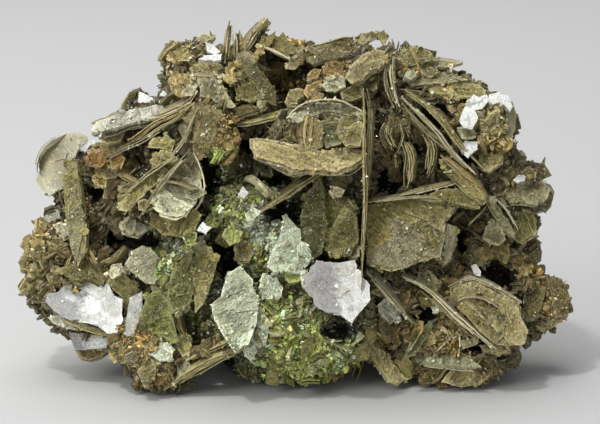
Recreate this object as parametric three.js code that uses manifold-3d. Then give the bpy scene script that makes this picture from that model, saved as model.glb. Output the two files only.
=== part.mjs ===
// Raw muscovite: one cluster of intergrown mica books on a lumpy mass of fine mica scales.
// Millimetres, +Z up. The origin is the middle of the bounding box on the resting plane.
//
// The cluster is laid out as its front is seen: "across" runs to the right, "up" runs up the front view
// and "depth" runs away from the viewer, who looks down on it a little. Things behind the measured depth
// are laid out as small as they look, and placed undoes that. layoutToPart turns and moves the layout
// into the part's own frame.
import * as THREE from "three";
import { mergeVertices } from "three/addons/utils/BufferGeometryUtils.js";
import Module from "manifold-3d";

const wasm = await Module();
wasm.setup();

// Driving dimensions
const lookDown = 12; // degrees above the horizon from which the layout is seen
const viewDistance = 500; // from the viewer to the depth at which the layout is measured
const measuredDepth = -14;
const sightUp = 36; // up, at the middle of the front view
const floorDepth = -14; // depth at which the resting plane crosses up = 0
const centreAcross = -0.21; // across, at the middle of the bounding box
const centreDepth = 7.5; // distance from the layout's depth 0 to that middle, along the part's Y axis
const floorSize = 200; // side of the block that trims the feet flat
const mergeWithin = 1e-4;
const lumpSeed = 20117;
const backSeed = 4409;
const backRows = 4;
const backColumns = 6;
const backAcross = 0;
const backWide = 80;
const backLow = 12;
const backHigh = 62;

// Lumps of fine scales that carry the books: across, depth, up, then the half sizes along those axes
// and the number of times each edge of the starting icosahedron is cut.
const lumps = [
  [-17, 6, 39, 25, 17, 21, 1],
  [17, 6, 37, 25, 18, 22, 1],
  [0, 11, 20, 31, 14, 14, 1],
  [-2, -6, 14, 20, 19, 13, 1],
  [2, 4, 51, 24, 15, 13, 0],
  [28, -2, 16, 18, 17, 13, 0],
  [37, 2, 34, 11, 14, 19, 0],
  [26, 0, 53, 15, 14, 12, 0],
  [4, -11, 49, 10, 10, 8, 0],
  [-24, 1, 52, 14, 13, 10, 0],
  [-22, 0, 64, 7, 7, 7, 0],
  [-42, 2, 38, 7, 9, 12, 0],
  [-41, -2, 20, 11, 11, 11, 0],
  [-49, -1, 22, 6, 7, 9, 0],
  [-29, -10, 8.6, 8.5, 10, 10.5, 0],
  [-28, -7, 37, 10, 9, 11, 0],
  [49, 0, 17.5, 6.5, 8, 8, 0],
  [43, 0, 21, 7, 9, 8, 0],
  [37, -2, 52, 7, 8, 9, 0],
  [31, -6, 7, 13, 9, 7, 0],
  [22, -9, 31, 9, 10, 10, 0],
  [-3, 9, 61, 21, 11, 9, 0],
  [13, 0, 63, 9, 11, 6, 0],
  [21, -3, 62, 6, 8, 6, 0],
  [-49, 0, 27, 7, 8, 8, 0],
  [-33, 0, 54, 8, 9, 5, 0],
  [-23, -9, 24, 10, 9, 8, 0],
  [-18, -10, 52, 6, 9, 8, 0],
  [-10, -3, 62, 5, 9, 4, 0],
  [19, -5, 49, 5, 9, 6, 0],
];

// Pits between the books, in the same terms.
const pits = [
  [-3.4, -10, 63.5, 4.6, 11, 4.6, 1],
  [-14, -16, 26, 3.6, 7, 6, 1],
  [5, -25, 12.5, 4.5, 6, 2.6, 1],
  [37, -14, 23.5, 6, 7, 3.4, 1],
  [29, -14, 42, 4, 7, 2.2, 1],
];

// Books whose flat face is seen: name, depth at the middle of the outline, how far the face falls back
// for each millimetre across and up, thickness, and the outline's corners (across, up).
const plates = [
  ["paleShelf", -11, 0, 2, 1.4, [-41.6, 51.8, -39.2, 54.8, -34.4, 56.4, -28, 58.2, -20.4, 59.8,
    -19, 59.2, -22, 56.8, -28, 54.4, -35, 52.4]],
  ["westWindow", -1, -0.4, 0.2, 2.6, [-51, 38.4, -52.6, 44, -52, 46.4, -48.4, 49.8, -45.6, 51.8,
    -44, 52, -42.4, 50.8, -43.2, 49, -45.2, 46, -46, 42, -47.6, 38.6]],
  ["westSlab", -9, -0.2, 0, 3, [-47.6, 44.8, -46, 46.4, -44.8, 42.8, -43.2, 37.4, -41.6, 31.4,
    -40.2, 26, -42.4, 24.4, -46, 26, -47.2, 33.4, -47.8, 40.4]],
  ["ochreBlock", -13, 0.1, 0.8, 3, [-42.4, 41.6, -42, 43, -39.4, 44.4, -37.2, 45, -37.4, 43.6, -40, 41.8]],
  ["ochrePost", -13, 0.3, 0, 3, [-39.2, 37.2, -38.6, 40.8, -37.6, 42.4, -36.6, 42.2, -37, 39.4, -38, 37.2]],
  ["roundPlate", -18.5, -0.15, 0.25, 2.4, [-32, 32.8, -30, 37.4, -27, 42.4, -23.2, 46.4, -21.4, 48,
    -20.2, 44.8, -19.2, 40.4, -19.4, 37.6, -20.8, 34, -23.4, 30.8, -28, 30.4]],
  ["roundPlateTop", -19.6, -0.15, 0.25, 1.2, [-27, 41.8, -21, 42, -19.2, 40, -20.8, 37.4,
    -24.2, 34.2, -25.4, 36.2, -26, 39]],
  ["tallLeaf", -18, 0.5, 0.1, 2.4, [-20.4, 46.8, -21.4, 48.8, -19, 52.8, -18, 56.4, -16, 58.6,
    -15.4, 56, -16.2, 53.6, -17.8, 49.8, -19.2, 47.6]],
  ["shoulderPlate", -13, 0.2, 0.4, 2.4, [-19.4, 59.2, -19.8, 62.4, -17.6, 63, -15.4, 62, -12.8, 56.8,
    -12.4, 55.2, -14.8, 54.8, -16.8, 56.8]],
  ["wedge", -12, -0.2, 0.2, 3, [-23.6, 59, -22, 61.2, -20.8, 63.6, -20.2, 62.4, -21, 59.4]],
  ["knobPlate", -9.5, 0, 0.3, 3, [-25.6, 59, -25.8, 62, -24.4, 63.6, -22, 63.8, -20.8, 62.4, -22, 60,
    -23.8, 58.6]],
  ["knobShelf", -8, 0, 1.2, 2, [-22.2, 64, -21.2, 66, -18.8, 66.4, -15.6, 66, -14.2, 64.8, -15.6, 63.2,
    -19.4, 63]],
  ["whiteChipNorth", -2, 0, 0.6, 2, [-18.8, 69.2, -17, 68.6, -15.4, 68.2, -15.6, 66, -19, 65.6, -19.4, 68]],
  ["whiteChipWest", 0, 0, 0.6, 2.4, [-32.4, 56, -32.4, 59.2, -31.6, 60.4, -29.6, 58.8, -29.2, 57.2,
    -30, 55.4]],
  ["darkFin", -2, 0.2, 0, 1.6, [-36, 54.4, -34.4, 60, -33, 60.4, -32.2, 59.2, -32.4, 57.2, -33, 54]],
  ["topFin", -3, 0.3, 0.2, 1.6, [-11.4, 66.6, -12, 70, -8.8, 73, -6, 74.8, -6.2, 73, -8.4, 69]],
  ["diagonalSlab", -11, 0.3, 0.3, 2.2, [-11.4, 66.4, -9.6, 66.8, -7.2, 64, -4.6, 61.2, -4.6, 59,
    -6.4, 58.8, -8.4, 61.6, -10.6, 64.4]],
  ["topRidge", -6, 0, 0.5, 2.4, [-2.4, 64.2, -0.2, 67.2, 3.6, 68.8, 7.2, 69.6, 10, 71.4, 11.8, 70.8,
    10.4, 68.4, 7.6, 66.6, 3.6, 65.6, 0.4, 65]],
  ["ridgeCheek", -4.5, 0.2, 0.2, 2, [8.6, 63.4, 8, 66.4, 10.8, 70.2, 12, 69.6, 10.8, 66]],
  ["fiveSided", -9.5, 0, 0.2, 2.4, [4.4, 61.6, 4, 65.6, 7.6, 66.6, 9.2, 64.4, 9, 62.4, 6.8, 61.4]],
  ["paleChip", -13.5, 0, 0.5, 3, [4.2, 61.2, 6, 62.6, 8, 63.8, 9.6, 62.4, 9.8, 60.8, 7.8, 59.6, 5.6, 60]],
  ["crownPlate", -12.5, 0, 0.7, 2.6, [9.4, 61.2, 9.2, 63.4, 11.2, 66.4, 12.6, 68, 15.6, 68.4, 17.8, 68,
    18.2, 66.8, 16.2, 65.2, 14.2, 63.4, 12.6, 61.6, 10.8, 60.8]],
  ["crownBack", 1, 0, 0.2, 3, [10, 71.8, 14.4, 72.4, 17.6, 71, 17.4, 67, 14.8, 66, 11.2, 67]],
  ["crescent", -17, 0.6, 0, 2.6, [18.2, 66, 17.4, 62.8, 17.8, 59.4, 19.2, 56.4, 20.2, 55.4, 20.4, 57.6,
    19.8, 61.4, 19.8, 64, 19.4, 66]],
  ["eastPlate", -9, 0, 1.2, 2, [24.8, 60, 26.6, 62, 31.6, 62.4, 36, 61.6, 38.2, 59.8, 35.6, 58.6,
    31, 58, 27.6, 58.6]],
  ["silverNorthEast", -11, 0.2, 0.5, 2, [33.2, 55.8, 33.6, 58.4, 36, 59.2, 38.4, 59, 38.6, 57.8,
    36.4, 56.2, 35, 54.6, 33.8, 52.6, 32, 52.2, 31.4, 54]],
  ["silverEast", -5, 0.4, 0.2, 2.4, [39.4, 57, 40, 58.8, 41.6, 59.2, 42.8, 57.6, 43, 55.6, 41.4, 53.6]],
  ["eastLeaf", -11.5, 0.1, 0.6, 3, [35, 46.4, 36, 48, 40, 49.2, 41.6, 48.4, 40, 45.8, 37, 44.8]],
  ["eastCheek", -8.5, 0.3, 0, 3, [38, 44, 40, 47.4, 42.4, 49.6, 43.4, 47, 42.4, 44, 41, 41.4, 39, 41]],
  ["eastShelf", -9, 0, 1, 2.2, [36.8, 41.2, 40, 40.8, 44.4, 39.6, 49.2, 38.4, 49.6, 37.8, 46, 37.4,
    41.2, 37.2, 38.6, 38.6]],
  ["eastRim", 1, 0.2, 0.3, 2.4, [44.6, 41, 48.2, 41.8, 49.6, 40, 50.6, 37.4, 49, 34.4, 45.6, 35.6]],
  ["eastCap", -8, 0, 0.7, 2.4, [40, 41.2, 40.6, 42.8, 43, 43.2, 45.2, 41.6, 44.8, 40.2, 41.6, 39.8]],
  ["eastFace", -8, 0.2, 0.1, 2.6, [40.8, 36.8, 46, 37.6, 49.2, 37, 48.4, 34.4, 45.6, 32, 42.8, 31.4]],
  ["eastStrap", -13, 0.5, 0.3, 1.8, [37.6, 38.2, 40, 38, 42.4, 34.4, 44.2, 31.2, 42.4, 31.2, 39.6, 34]],
  ["bigFace", -21.5, 0.15, 0.1, 3.2, [13.2, 37.2, 17, 38.2, 23.6, 39.2, 26.8, 38.4, 29.4, 37,
    29.8, 33.6, 29.2, 30, 28, 26, 24.8, 26, 20.8, 23.6, 16.8, 24.8, 14, 24.8]],
  ["bigFaceRim", -19.5, 0.1, 1, 2, [23.6, 39.2, 27.4, 40.8, 30.6, 40.6, 34.2, 38.6, 35.6, 36.8,
    32.4, 34.8, 29, 36]],
  ["hangingLeaf", -19, 0.6, 0, 2, [28.8, 34.8, 30, 36, 31.2, 31.2, 31, 26.8, 29.6, 24.4, 28.2, 25.6,
    28.6, 29.4]],
  ["spineSlab", -20, 0.5, 0, 3, [13, 44.4, 12.4, 58.4, 13.4, 61.2, 15.6, 61.6, 16, 58.4, 14.8, 50.4,
    14.6, 43]],
  ["duskPlate", -15, 0.1, 0.1, 2.4, [14.4, 39, 15, 44, 18, 45.6, 20.8, 44.4, 20.4, 40.4, 17.6, 37.6]],
  ["uprightLeaf", -16.5, 0.6, 0, 2.4, [24.2, 50, 26.4, 51.4, 27.4, 48.8, 26.6, 45.2, 25.6, 42.4, 24.6, 45.6]],
  ["goldRidge", -17.5, 0.2, 0.5, 2.6, [27.2, 46.8, 29.2, 47.4, 32, 45.4, 35.2, 42.8, 37, 40.4,
    35.4, 39.6, 32.4, 41.6, 29.4, 44.2]],
  ["lensLeft", -22.5, 0, 0.9, 2, [-10, 50, -8.8, 51.2, -1.6, 50.2, 1.2, 48.4, 4.4, 45.2, 3.6, 44.2,
    -1.2, 43.8, -3.2, 44.6, -7.6, 45.8, -9.6, 47]],
  ["lensRight", -23, 0, 0.8, 2.4, [-0.8, 48, 2, 48.8, 10, 49, 13.2, 48.4, 13.2, 45.8, 10, 44.2,
    5, 43.6, 1.6, 45]],
  ["arch", -18.5, 0, 1.3, 2, [-2.4, 54.6, 0, 56.8, 3.6, 58.2, 8, 58.2, 10.6, 57, 12.8, 55.4, 10, 53,
    0.4, 52.8]],
  ["archBody", -21.5, -0.3, 0.2, 3, [0, 48, 0, 53.6, 2, 55.4, 5, 55.8, 5.4, 52.4, 4.8, 48]],
  ["archCore", -20.5, 0, 0.3, 3, [4, 47.6, 3.6, 53.4, 7, 55.8, 9, 54.8, 8, 52, 8.6, 47.6]],
  ["archPlate", -21, -0.2, 0.3, 2.4, [7.4, 52.4, 10, 54.8, 12.6, 56, 13, 50.4, 12.4, 47.4, 8.4, 47.4]],
  ["archCap", -15, 0, 0.6, 3, [12.6, 58.2, 8, 58.4, 8.8, 60.8, 12, 61.6, 13.6, 60.2]],
  ["greenCurtain", -17.5, 0, -0.1, 3, [0, 36.8, 4.4, 42.8, 11.8, 44.4, 12.6, 30.4, 10.2, 25, 4, 25,
    0.6, 30.4]],
  ["spearPlate", -21.5, 0.1, 0.3, 3, [-7.4, 25.2, -4.8, 29.6, -3.2, 34.4, -1.6, 35.8, 0.6, 33.2,
    0.6, 30, 2.6, 26, 0, 24.4, -3, 23.6]],
  ["spearBase", -23, 0, 0.8, 2.4, [-7.6, 21.4, -6.4, 24.8, -3.6, 25.4, 0, 26, 2.6, 24, 0, 21.6,
    -3, 20.6, -6, 20]],
  ["snowPlate", -26, 0.1, 0.15, 2.4, [-18, 17.4, -15.6, 19.6, -13.8, 23.6, -12, 24.6, -10.6, 23.4,
    -8.4, 18.8, -9.2, 15.2, -12, 11.4, -14, 9.2, -16.4, 13.4]],
  ["snowFlank", -24.5, 0.2, 0.1, 2.4, [-12, 10, -10.4, 14.8, -8.4, 18, -6.4, 14.6, -7.4, 11,
    -8.8, 8.6, -10, 8]],
  ["mintScales", -24, 0, 0.2, 2.6, [-8.8, 19.2, -8.4, 21.6, -6, 22.8, -3.4, 21.6, -3.2, 19.6,
    -4.4, 18, -7.6, 17.8]],
  ["silverHeart", -26.5, 0.1, 0.35, 1.8, [1.6, 18.4, 2.4, 22, 2.8, 25.2, 4.8, 26.8, 9.2, 26.8,
    12.4, 25.8, 14.2, 21.8, 14, 18.2, 11.6, 15.2, 10, 13.6, 7.2, 15.2, 2.6, 15.8]],
  ["greenPanelWest", -18, 0.3, 0, 3, [-26.2, 20.4, -26.4, 27.2, -24, 28.8, -21.8, 26, -21.6, 22.4,
    -20.4, 18, -22, 17, -24.4, 18.8]],
  ["greenPanelEast", -17, 0, 0.1, 3, [-21.6, 26, -20, 29.4, -17.2, 29.8, -16.2, 26.8, -17.2, 23.4,
    -19.2, 18, -20.8, 20.4]],
  ["greyKite", -16, 0.1, 0.3, 2.6, [-35.8, 25.8, -33.4, 29.4, -28.8, 27.6, -28.2, 24.4, -29.6, 21.8,
    -31, 21.2, -33.2, 23.4]],
  ["silverWest", -13, -0.15, 0.4, 1.8, [-51, 16.8, -48, 20.8, -44.4, 22.2, -41.6, 21, -37.6, 19.6,
    -35.4, 17.4, -34.8, 14.8, -37.4, 11.4, -40, 12.2, -46, 13.4, -49.6, 12.8]],
  ["tanWing", -12, 0.2, 0.1, 2.4, [-38.6, 21.6, -35.6, 24.8, -33.8, 21.6, -31.8, 18.4, -32.2, 14.8,
    -33.2, 11.6, -35, 11.4, -37, 16]],
  ["westCornice", -10, 0, 0.6, 3, [-47.4, 24.4, -45.6, 26, -40, 24.8, -38.2, 21.6, -42, 20.8, -45.6, 22]],
  ["westFoot", -8, 0, -0.3, 3, [-46.4, 12.2, -40.4, 12, -38.2, 9.6, -38.8, 7.6, -42.4, 6.8, -45, 7.2]],
  ["darkGlass", -17, 0.2, 0, 2.4, [-32, 11.4, -31.6, 18, -29.6, 20.4, -28, 19, -25.8, 15.2, -24.4, 10.4,
    -26.4, 9.2, -29.6, 9.6]],
  ["footCap", -19, 0, 0.3, 2.4, [-30.6, 8.4, -29, 11.4, -26, 11.6, -24, 8.4, -24.8, 6.8, -29, 6.8]],
  ["olivePanel", -17, 0.2, 0, 2.4, [-21.8, 8.4, -19.8, 12.2, -16.8, 13, -13.6, 9.4, -16.4, 6.4, -20, 5.2]],
  ["southStrap", -13, 0.3, 0.3, 2.2, [12, 12.2, 14, 10.6, 16.8, 9.2, 19.2, 5.6, 20.2, 2.6, 19.2, 1,
    17.6, 1.2, 15.2, 5.2]],
  ["southStrapSide", -11, 0.2, 0, 2.4, [18.8, 6.4, 21.6, 7.2, 23, 2.8, 21.8, 1.6, 20.2, 2.2]],
  ["growthPlate", -16, 0.1, 0.35, 2.4, [29.2, 18.4, 29.6, 19.6, 31.6, 21.2, 34, 22.2, 38, 20.8,
    44.4, 16.8, 45.8, 13.2, 44, 8.4, 40, 8, 34, 10.6, 30.4, 14]],
  ["growthPlateTop", -17, 0.1, 0.35, 1.2, [31.6, 16, 32.4, 18, 36, 19, 39.6, 18, 41, 15.6, 40, 12.4,
    35.6, 12]],
  ["southLight", -15, 0, 1, 2.4, [20.8, 6, 24, 8.4, 31.2, 8.4, 34.4, 6.4, 32.4, 4.8, 26, 4.2]],
  ["southFan", -15.5, 0, 0.3, 2.6, [35.6, 9.4, 40, 12.4, 42.4, 11.4, 42.6, 8.4, 38, 7.6]],
  ["eastBody", -12, 0.1, 0.1, 3, [34, 27.4, 35.6, 31.4, 40, 33.4, 44, 30.4, 43, 26.8, 39, 24.4, 36.4, 24.8]],
  ["westGlass", 0, -0.3, 0, 2.4, [-52.6, 33.2, -51, 35.4, -47.4, 35, -47, 31, -51.6, 31.8]],
  ["creamSlab", -6, -0.2, 0, 2.4, [-49.8, 33.2, -48, 34, -46.4, 33.2, -46.2, 29.6, -48, 30]],
];

// Books seen nearly on edge: name, the two ends of the near edge (across, depth, up), how far the book
// runs back, its thickness, and its turn in degrees about that edge.
const blades = [
  ["shelfStack", -36.4, -13, 48.6, -19.4, -14, 58.2, 12, 3, 12],
  ["goldStick", -38, -17, 44.8, -31.6, -16, 41.2, 8, 1, 10],
  ["westBladeWide", -36.4, -16, 36.6, -23.6, -19, 48.4, 10, 1.8, 30],
  ["westBladeThin", -31.8, -21, 34.8, -22.8, -21, 48, 9, 1, 5],
  ["northBladeA", -14.6, -5, 62, -14.8, -4, 71.2, 7, 1.2, 10],
  ["northBladeB", -13.2, -6, 62, -13.6, -5, 74.4, 8, 1.2, -10],
  ["northBladeC", -11.6, -5, 61, -12.2, -4, 72.4, 7, 1.1, 15],
  ["northFinLight", -10, -7, 64, -4.4, -3, 73.2, 8, 1.8, 20],
  ["northTuftA", -4.6, -3, 64, -2.6, -2, 72.6, 7, 1.6, 30],
  ["northTuftB", -1.6, -3, 63, 0.2, -1, 70.4, 7, 1.4, -25],
  ["crownTuft", 19.4, -8, 62, 19.6, -6, 71.8, 8, 2.6, 30],
  ["crownTuftSide", 17, -6, 63, 18.2, -5, 70.6, 7, 1.8, -20],
  ["eastSpikeA", 19, -6, 69.4, 25.8, -2, 68.8, 8, 1.8, 15],
  ["eastSpikeB", 18, -7, 67.6, 27, -3, 67.4, 9, 1.3, 15],
  ["eastSpikeC", 20, -8, 66, 32.6, -3, 65.6, 9, 1, 15],
  ["eastSpikeD", 20, -11, 61.4, 33.6, -6, 62.6, 10, 1.3, -15],
  ["steepStick", 22.6, -13, 68, 26.4, -14, 58.8, 7, 1, 30],
  ["twinBladeA", 20.6, -18, 59.6, 34.8, -16, 44.2, 8, 1.2, 12],
  ["twinBladeB", 20.4, -19, 58, 33.2, -18, 44, 9, 1.1, 0],
  ["rimEdge", 19, -20, 38.8, 32.4, -18, 42.4, 6, 0.8, 10],
  ["greatSpine", 12.8, -24, 57, 12.4, -27, 24, 12, 1.2, 8],
  ["uprightBlade", 23.4, -17, 50, 22.2, -20, 38.6, 8, 1.6, 25],
  ["drapeEdge", -6.6, -19, 36.8, 5, -20, 43, 8, 1.1, 35],
  ["westBand", -46.4, -12, 13.4, -34, -15, 9.8, 8, 1.8, 20],
  ["groundBlade", -26, -18, 0.8, -8.8, -22, 8, 8, 2.2, 30],
  ["southEdgeA", 13, -25, 24, 23, -20, 14, 8, 1.2, 15],
  ["southEdgeB", 15, -24, 24.2, 23.8, -19, 15, 8, 0.9, 5],
  ["longDiagonal", 20.2, -21, 22.8, 39.4, -20, 8.8, 9, 1.8, 10],
  ["southLedge", 34, -15, 6.6, 42, -13, 8, 7, 0.9, 0],
  ["eastKnobBlade", 48.2, -8, 15.2, 53.6, -5, 21.8, 6, 1, 10],
  ["eastFarSpike", 44, -1, 43.6, 49, 1, 47, 6, 3, 25],
];
const bladeOutline = [0, 0.2, 0.1, 0, 0.94, 0.02, 1, 0.24, 0.9, 1, 0.1, 0.9];
const backOutline = [-0.5, -0.1, -0.3, -0.5, 0.3, -0.5, 0.5, 0.1, 0.25, 0.5, -0.35, 0.46];

// The layout's axes in the part's frame.
function layoutToPart() {
  const tilt = THREE.MathUtils.degToRad(lookDown);
  const across = new THREE.Vector3(1, 0, 0);
  const depth = new THREE.Vector3(0, Math.cos(tilt), -Math.sin(tilt));
  const up = new THREE.Vector3(0, Math.sin(tilt), Math.cos(tilt));
  const floorRise = floorDepth * Math.sin(tilt);
  return new THREE.Matrix4()
    .makeBasis(across, depth, up)
    .premultiply(new THREE.Matrix4().makeTranslation(-centreAcross, -centreDepth, floorRise));
}

// A point as it is seen in the layout, moved out from the line of sight as its depth asks.
function placed(across, depth, up) {
  const grow = growAt(depth);
  return new THREE.Vector3(across * grow, depth, sightUp + (up - sightUp) * grow);
}

function growAt(depth) {
  return 1 + (depth - measuredDepth) / viewDistance;
}

// Park and Miller's generator, so that the scattered books fall in the same places each time.
function randomFrom(seed) {
  let state = seed;
  return (low, high) => {
    state = (state * 48271) % 2147483647;
    return low + ((high - low) * state) / 2147483647;
  };
}

function solidOf(geometry) {
  for (const name of ["normal", "uv"]) geometry.deleteAttribute(name);
  const merged = mergeVertices(geometry, mergeWithin);
  return new wasm.Manifold(
    new wasm.Mesh({
      numProp: 3,
      vertProperties: merged.attributes.position.array,
      triVerts: new Uint32Array(merged.index.array),
    }),
  );
}

function pairs(flat, scaleX = 1, scaleY = 1) {
  const points = [];
  for (let i = 0; i < flat.length; i += 2) {
    points.push(new THREE.Vector2(flat[i] * scaleX, flat[i + 1] * scaleY));
  }
  return points;
}

// A slab with the given outline in its own XY plane, from z = -thick to z = 0, moved by a matrix.
function slab(points, thick, move) {
  const geometry = new THREE.ExtrudeGeometry(new THREE.Shape(points), { depth: thick, bevelEnabled: false });
  return solidOf(geometry.translate(0, 0, -thick).applyMatrix4(move));
}

function lump([across, depth, up, halfAcross, halfDepth, halfUp, cuts], random) {
  const ball = new THREE.IcosahedronGeometry(1, cuts);
  for (const name of ["normal", "uv"]) ball.deleteAttribute(name);
  const geometry = mergeVertices(ball, mergeWithin);
  const place = geometry.attributes.position;
  for (let i = 0; i < place.count; i++) {
    const swell = random(0.86, 1.1);
    place.setXYZ(i, place.getX(i) * swell, place.getY(i) * swell, place.getZ(i) * swell);
  }
  const middle = placed(across, depth, up);
  return solidOf(geometry.scale(halfAcross, halfDepth, halfUp).translate(middle.x, middle.y, middle.z));
}

function plate([, depth, fallAcross, fallUp, thick, outline]) {
  const corners = pairs(outline);
  const middle = corners.reduce((sum, p) => sum.add(p), new THREE.Vector2()).divideScalar(corners.length);
  const grow = growAt(depth);
  const along = new THREE.Vector3(1, fallAcross, 0);
  const rise = new THREE.Vector3(0, fallUp, 1);
  const outward = new THREE.Vector3().crossVectors(along, rise).normalize();
  const move = new THREE.Matrix4().makeBasis(along, rise, outward);
  move.setPosition(placed(middle.x, depth, middle.y));
  return slab(corners.map((p) => p.sub(middle).multiplyScalar(grow)), thick, move);
}

function blade([, across1, depth1, up1, across2, depth2, up2, runBack, thick, turn]) {
  const start = placed(across1, depth1, up1);
  const along = placed(across2, depth2, up2).sub(start);
  const length = along.length();
  along.normalize();
  const back = new THREE.Vector3(0, 1, 0).addScaledVector(along, -along.y).normalize();
  back.applyAxisAngle(along, THREE.MathUtils.degToRad(turn));
  const outward = new THREE.Vector3().crossVectors(along, back);
  const move = new THREE.Matrix4().makeBasis(along, back, outward);
  move.setPosition(start.addScaledVector(outward, thick / 2));
  return slab(pairs(bladeOutline, length, runBack), thick, move);
}

// How far back the lumps reach behind a point of the front view, or null beside them.
function backOfLumps(across, up) {
  let reach = null;
  for (const [lumpAcross, lumpDepth, lumpUp, halfAcross, halfDepth, halfUp] of lumps) {
    const off = Math.hypot((across - lumpAcross) / halfAcross, (up - lumpUp) / halfUp);
    if (off < 0.98) reach = Math.max(reach ?? -Infinity, lumpDepth + halfDepth * Math.sqrt(1 - off * off));
  }
  return reach;
}

// Whether a point is hidden behind the lumps, or close to it, when the cluster is seen from the front.
function behindLumps(point) {
  return lumps.some(([across, , up, halfAcross, , halfUp]) => {
    return Math.hypot((point.x - across) / halfAcross, (point.z - up) / halfUp) < 1.12;
  });
}

// Books over the back, one for each cell of a loose grid, turned and leaning at odd angles. Those that
// would show past the outline seen from the front are left out.
function backBooks() {
  const random = randomFrom(backSeed);
  const made = [];
  for (let row = 0; row < backRows; row++) {
    for (let column = 0; column < backColumns; column++) {
      const across = backAcross - backWide / 2 + ((column + random(0.1, 0.9)) * backWide) / backColumns;
      const up = backLow + ((row + random(0.1, 0.9)) * (backHigh - backLow)) / backRows;
      const turn = random(0, Math.PI);
      const leanAcross = random(-1, 1) + across / 45;
      const leanUp = random(-1, 1) + (up - sightUp) / 40;
      const length = random(13, 19);
      const width = random(12, 18);
      const thick = random(2, 4);
      const depth = backOfLumps(across, up);
      if (depth === null) continue;
      const outward = new THREE.Vector3(leanAcross, 1, leanUp).normalize();
      const along = new THREE.Vector3(Math.cos(turn), 0, Math.sin(turn));
      along.addScaledVector(outward, -along.dot(outward)).normalize();
      const side = new THREE.Vector3().crossVectors(outward, along);
      const middle = placed(across, depth + thick / 3, up);
      const move = new THREE.Matrix4().makeBasis(along, side, outward).setPosition(middle);
      const corners = pairs(backOutline, length, width);
      const seen = corners.map((p) => new THREE.Vector3(p.x, p.y, 0).applyMatrix4(move));
      if (seen.every(behindLumps)) made.push(slab(corners, thick * 1.5, move));
    }
  }
  return made;
}

function cluster() {
  const random = randomFrom(lumpSeed);
  let mass = wasm.Manifold.union(lumps.map((row) => lump(row, random)));
  for (const row of pits) mass = mass.subtract(lump(row, random));
  const books = [...plates.map(plate), ...blades.map(blade), ...backBooks()];
  const whole = wasm.Manifold.union([mass, ...books]).transform(layoutToPart().toArray());
  const half = floorSize / 2;
  const aboveFloor = new THREE.BoxGeometry(floorSize, floorSize, floorSize).translate(0, 0, half);
  const trimmed = whole.intersect(solidOf(aboveFloor));
  // Voids closed in between the books are filled: only the outer skin is kept.
  const skins = trimmed.decompose().sort((a, b) => b.volume() - a.volume());
  return skins[0];
}

function geometryOf(solid) {
  const { vertProperties, triVerts } = solid.getMesh();
  const geometry = new THREE.BufferGeometry();
  geometry.setAttribute("position", new THREE.BufferAttribute(new Float32Array(vertProperties), 3));
  geometry.setIndex(new THREE.BufferAttribute(new Uint32Array(triVerts), 1));
  geometry.computeVertexNormals();
  return geometry;
}

const mica = new THREE.MeshStandardMaterial({ color: 0x8b8462, roughness: 0.45, metalness: 0.1 });
const muscovite = new THREE.Mesh(geometryOf(cluster()), mica);
muscovite.name = "muscovite_cluster";

const part = new THREE.Group();
part.add(muscovite);
export default part;
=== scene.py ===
import bpy
import math
import random
import numpy as np
from mathutils import Matrix, Vector
from mathutils.bvhtree import BVHTree


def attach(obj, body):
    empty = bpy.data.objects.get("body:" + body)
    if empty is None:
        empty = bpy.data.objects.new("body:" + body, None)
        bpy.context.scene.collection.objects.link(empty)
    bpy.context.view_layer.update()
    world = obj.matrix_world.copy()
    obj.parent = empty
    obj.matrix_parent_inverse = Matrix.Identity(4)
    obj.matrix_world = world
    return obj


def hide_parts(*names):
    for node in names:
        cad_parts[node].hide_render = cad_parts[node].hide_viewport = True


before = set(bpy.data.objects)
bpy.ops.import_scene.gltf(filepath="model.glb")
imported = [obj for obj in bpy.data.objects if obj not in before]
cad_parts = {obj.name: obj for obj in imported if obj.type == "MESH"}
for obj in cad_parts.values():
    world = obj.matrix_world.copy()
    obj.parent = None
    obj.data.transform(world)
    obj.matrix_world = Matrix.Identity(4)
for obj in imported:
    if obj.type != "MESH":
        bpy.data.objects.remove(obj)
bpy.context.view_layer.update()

# Raw muscovite: thin mica books and plates grown out of a lumpy mass of fine scales.
# Shapes are laid out in millimetres as the front is seen (across, depth, up), the same way as in the
# part's source, and toPart turns them into metres in the part's own frame.
layout = {
    "lookDown": 12,  # degrees above the horizon
    "viewDistance": 500,  # mm from the eye to the measured depth
    "measuredDepth": -14,  # what lies this deep is laid out at its own size
    "sightUp": 36,  # how high the line of sight runs
    "floorDepth": -14,  # how deep the floor is where it's seen at height 0
    "centreAcross": -0.21,  # the middle of the part
    "centreDepth": 7.5,
    "halfWidth": 45,  # about, for margins
}

tints = {  # the mica's own colours, linear
    "soil": (0.060, 0.041, 0.011),
    "pine": (0.075, 0.087, 0.022),
    "umber": (0.122, 0.094, 0.026),
    "bark": (0.152, 0.136, 0.035),
    "moss": (0.160, 0.192, 0.040),
    "olive": (0.205, 0.192, 0.051),
    "clay": (0.255, 0.209, 0.077),
    "gold": (0.310, 0.197, 0.055),
    "rust": (0.340, 0.177, 0.040),
    "khaki": (0.315, 0.283, 0.090),
    "stone": (0.330, 0.315, 0.172),
    "lime": (0.340, 0.394, 0.097),
    "straw": (0.430, 0.375, 0.165),
    "tan": (0.480, 0.369, 0.132),
    "grey": (0.440, 0.440, 0.280),
    "ash": (0.610, 0.615, 0.500),
    "mint": (0.640, 0.725, 0.520),
    "cream": (0.720, 0.665, 0.440),
    # On the silvery books this near white is a painted reflection.
    "silver": (0.820, 0.830, 0.800),
}

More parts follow.
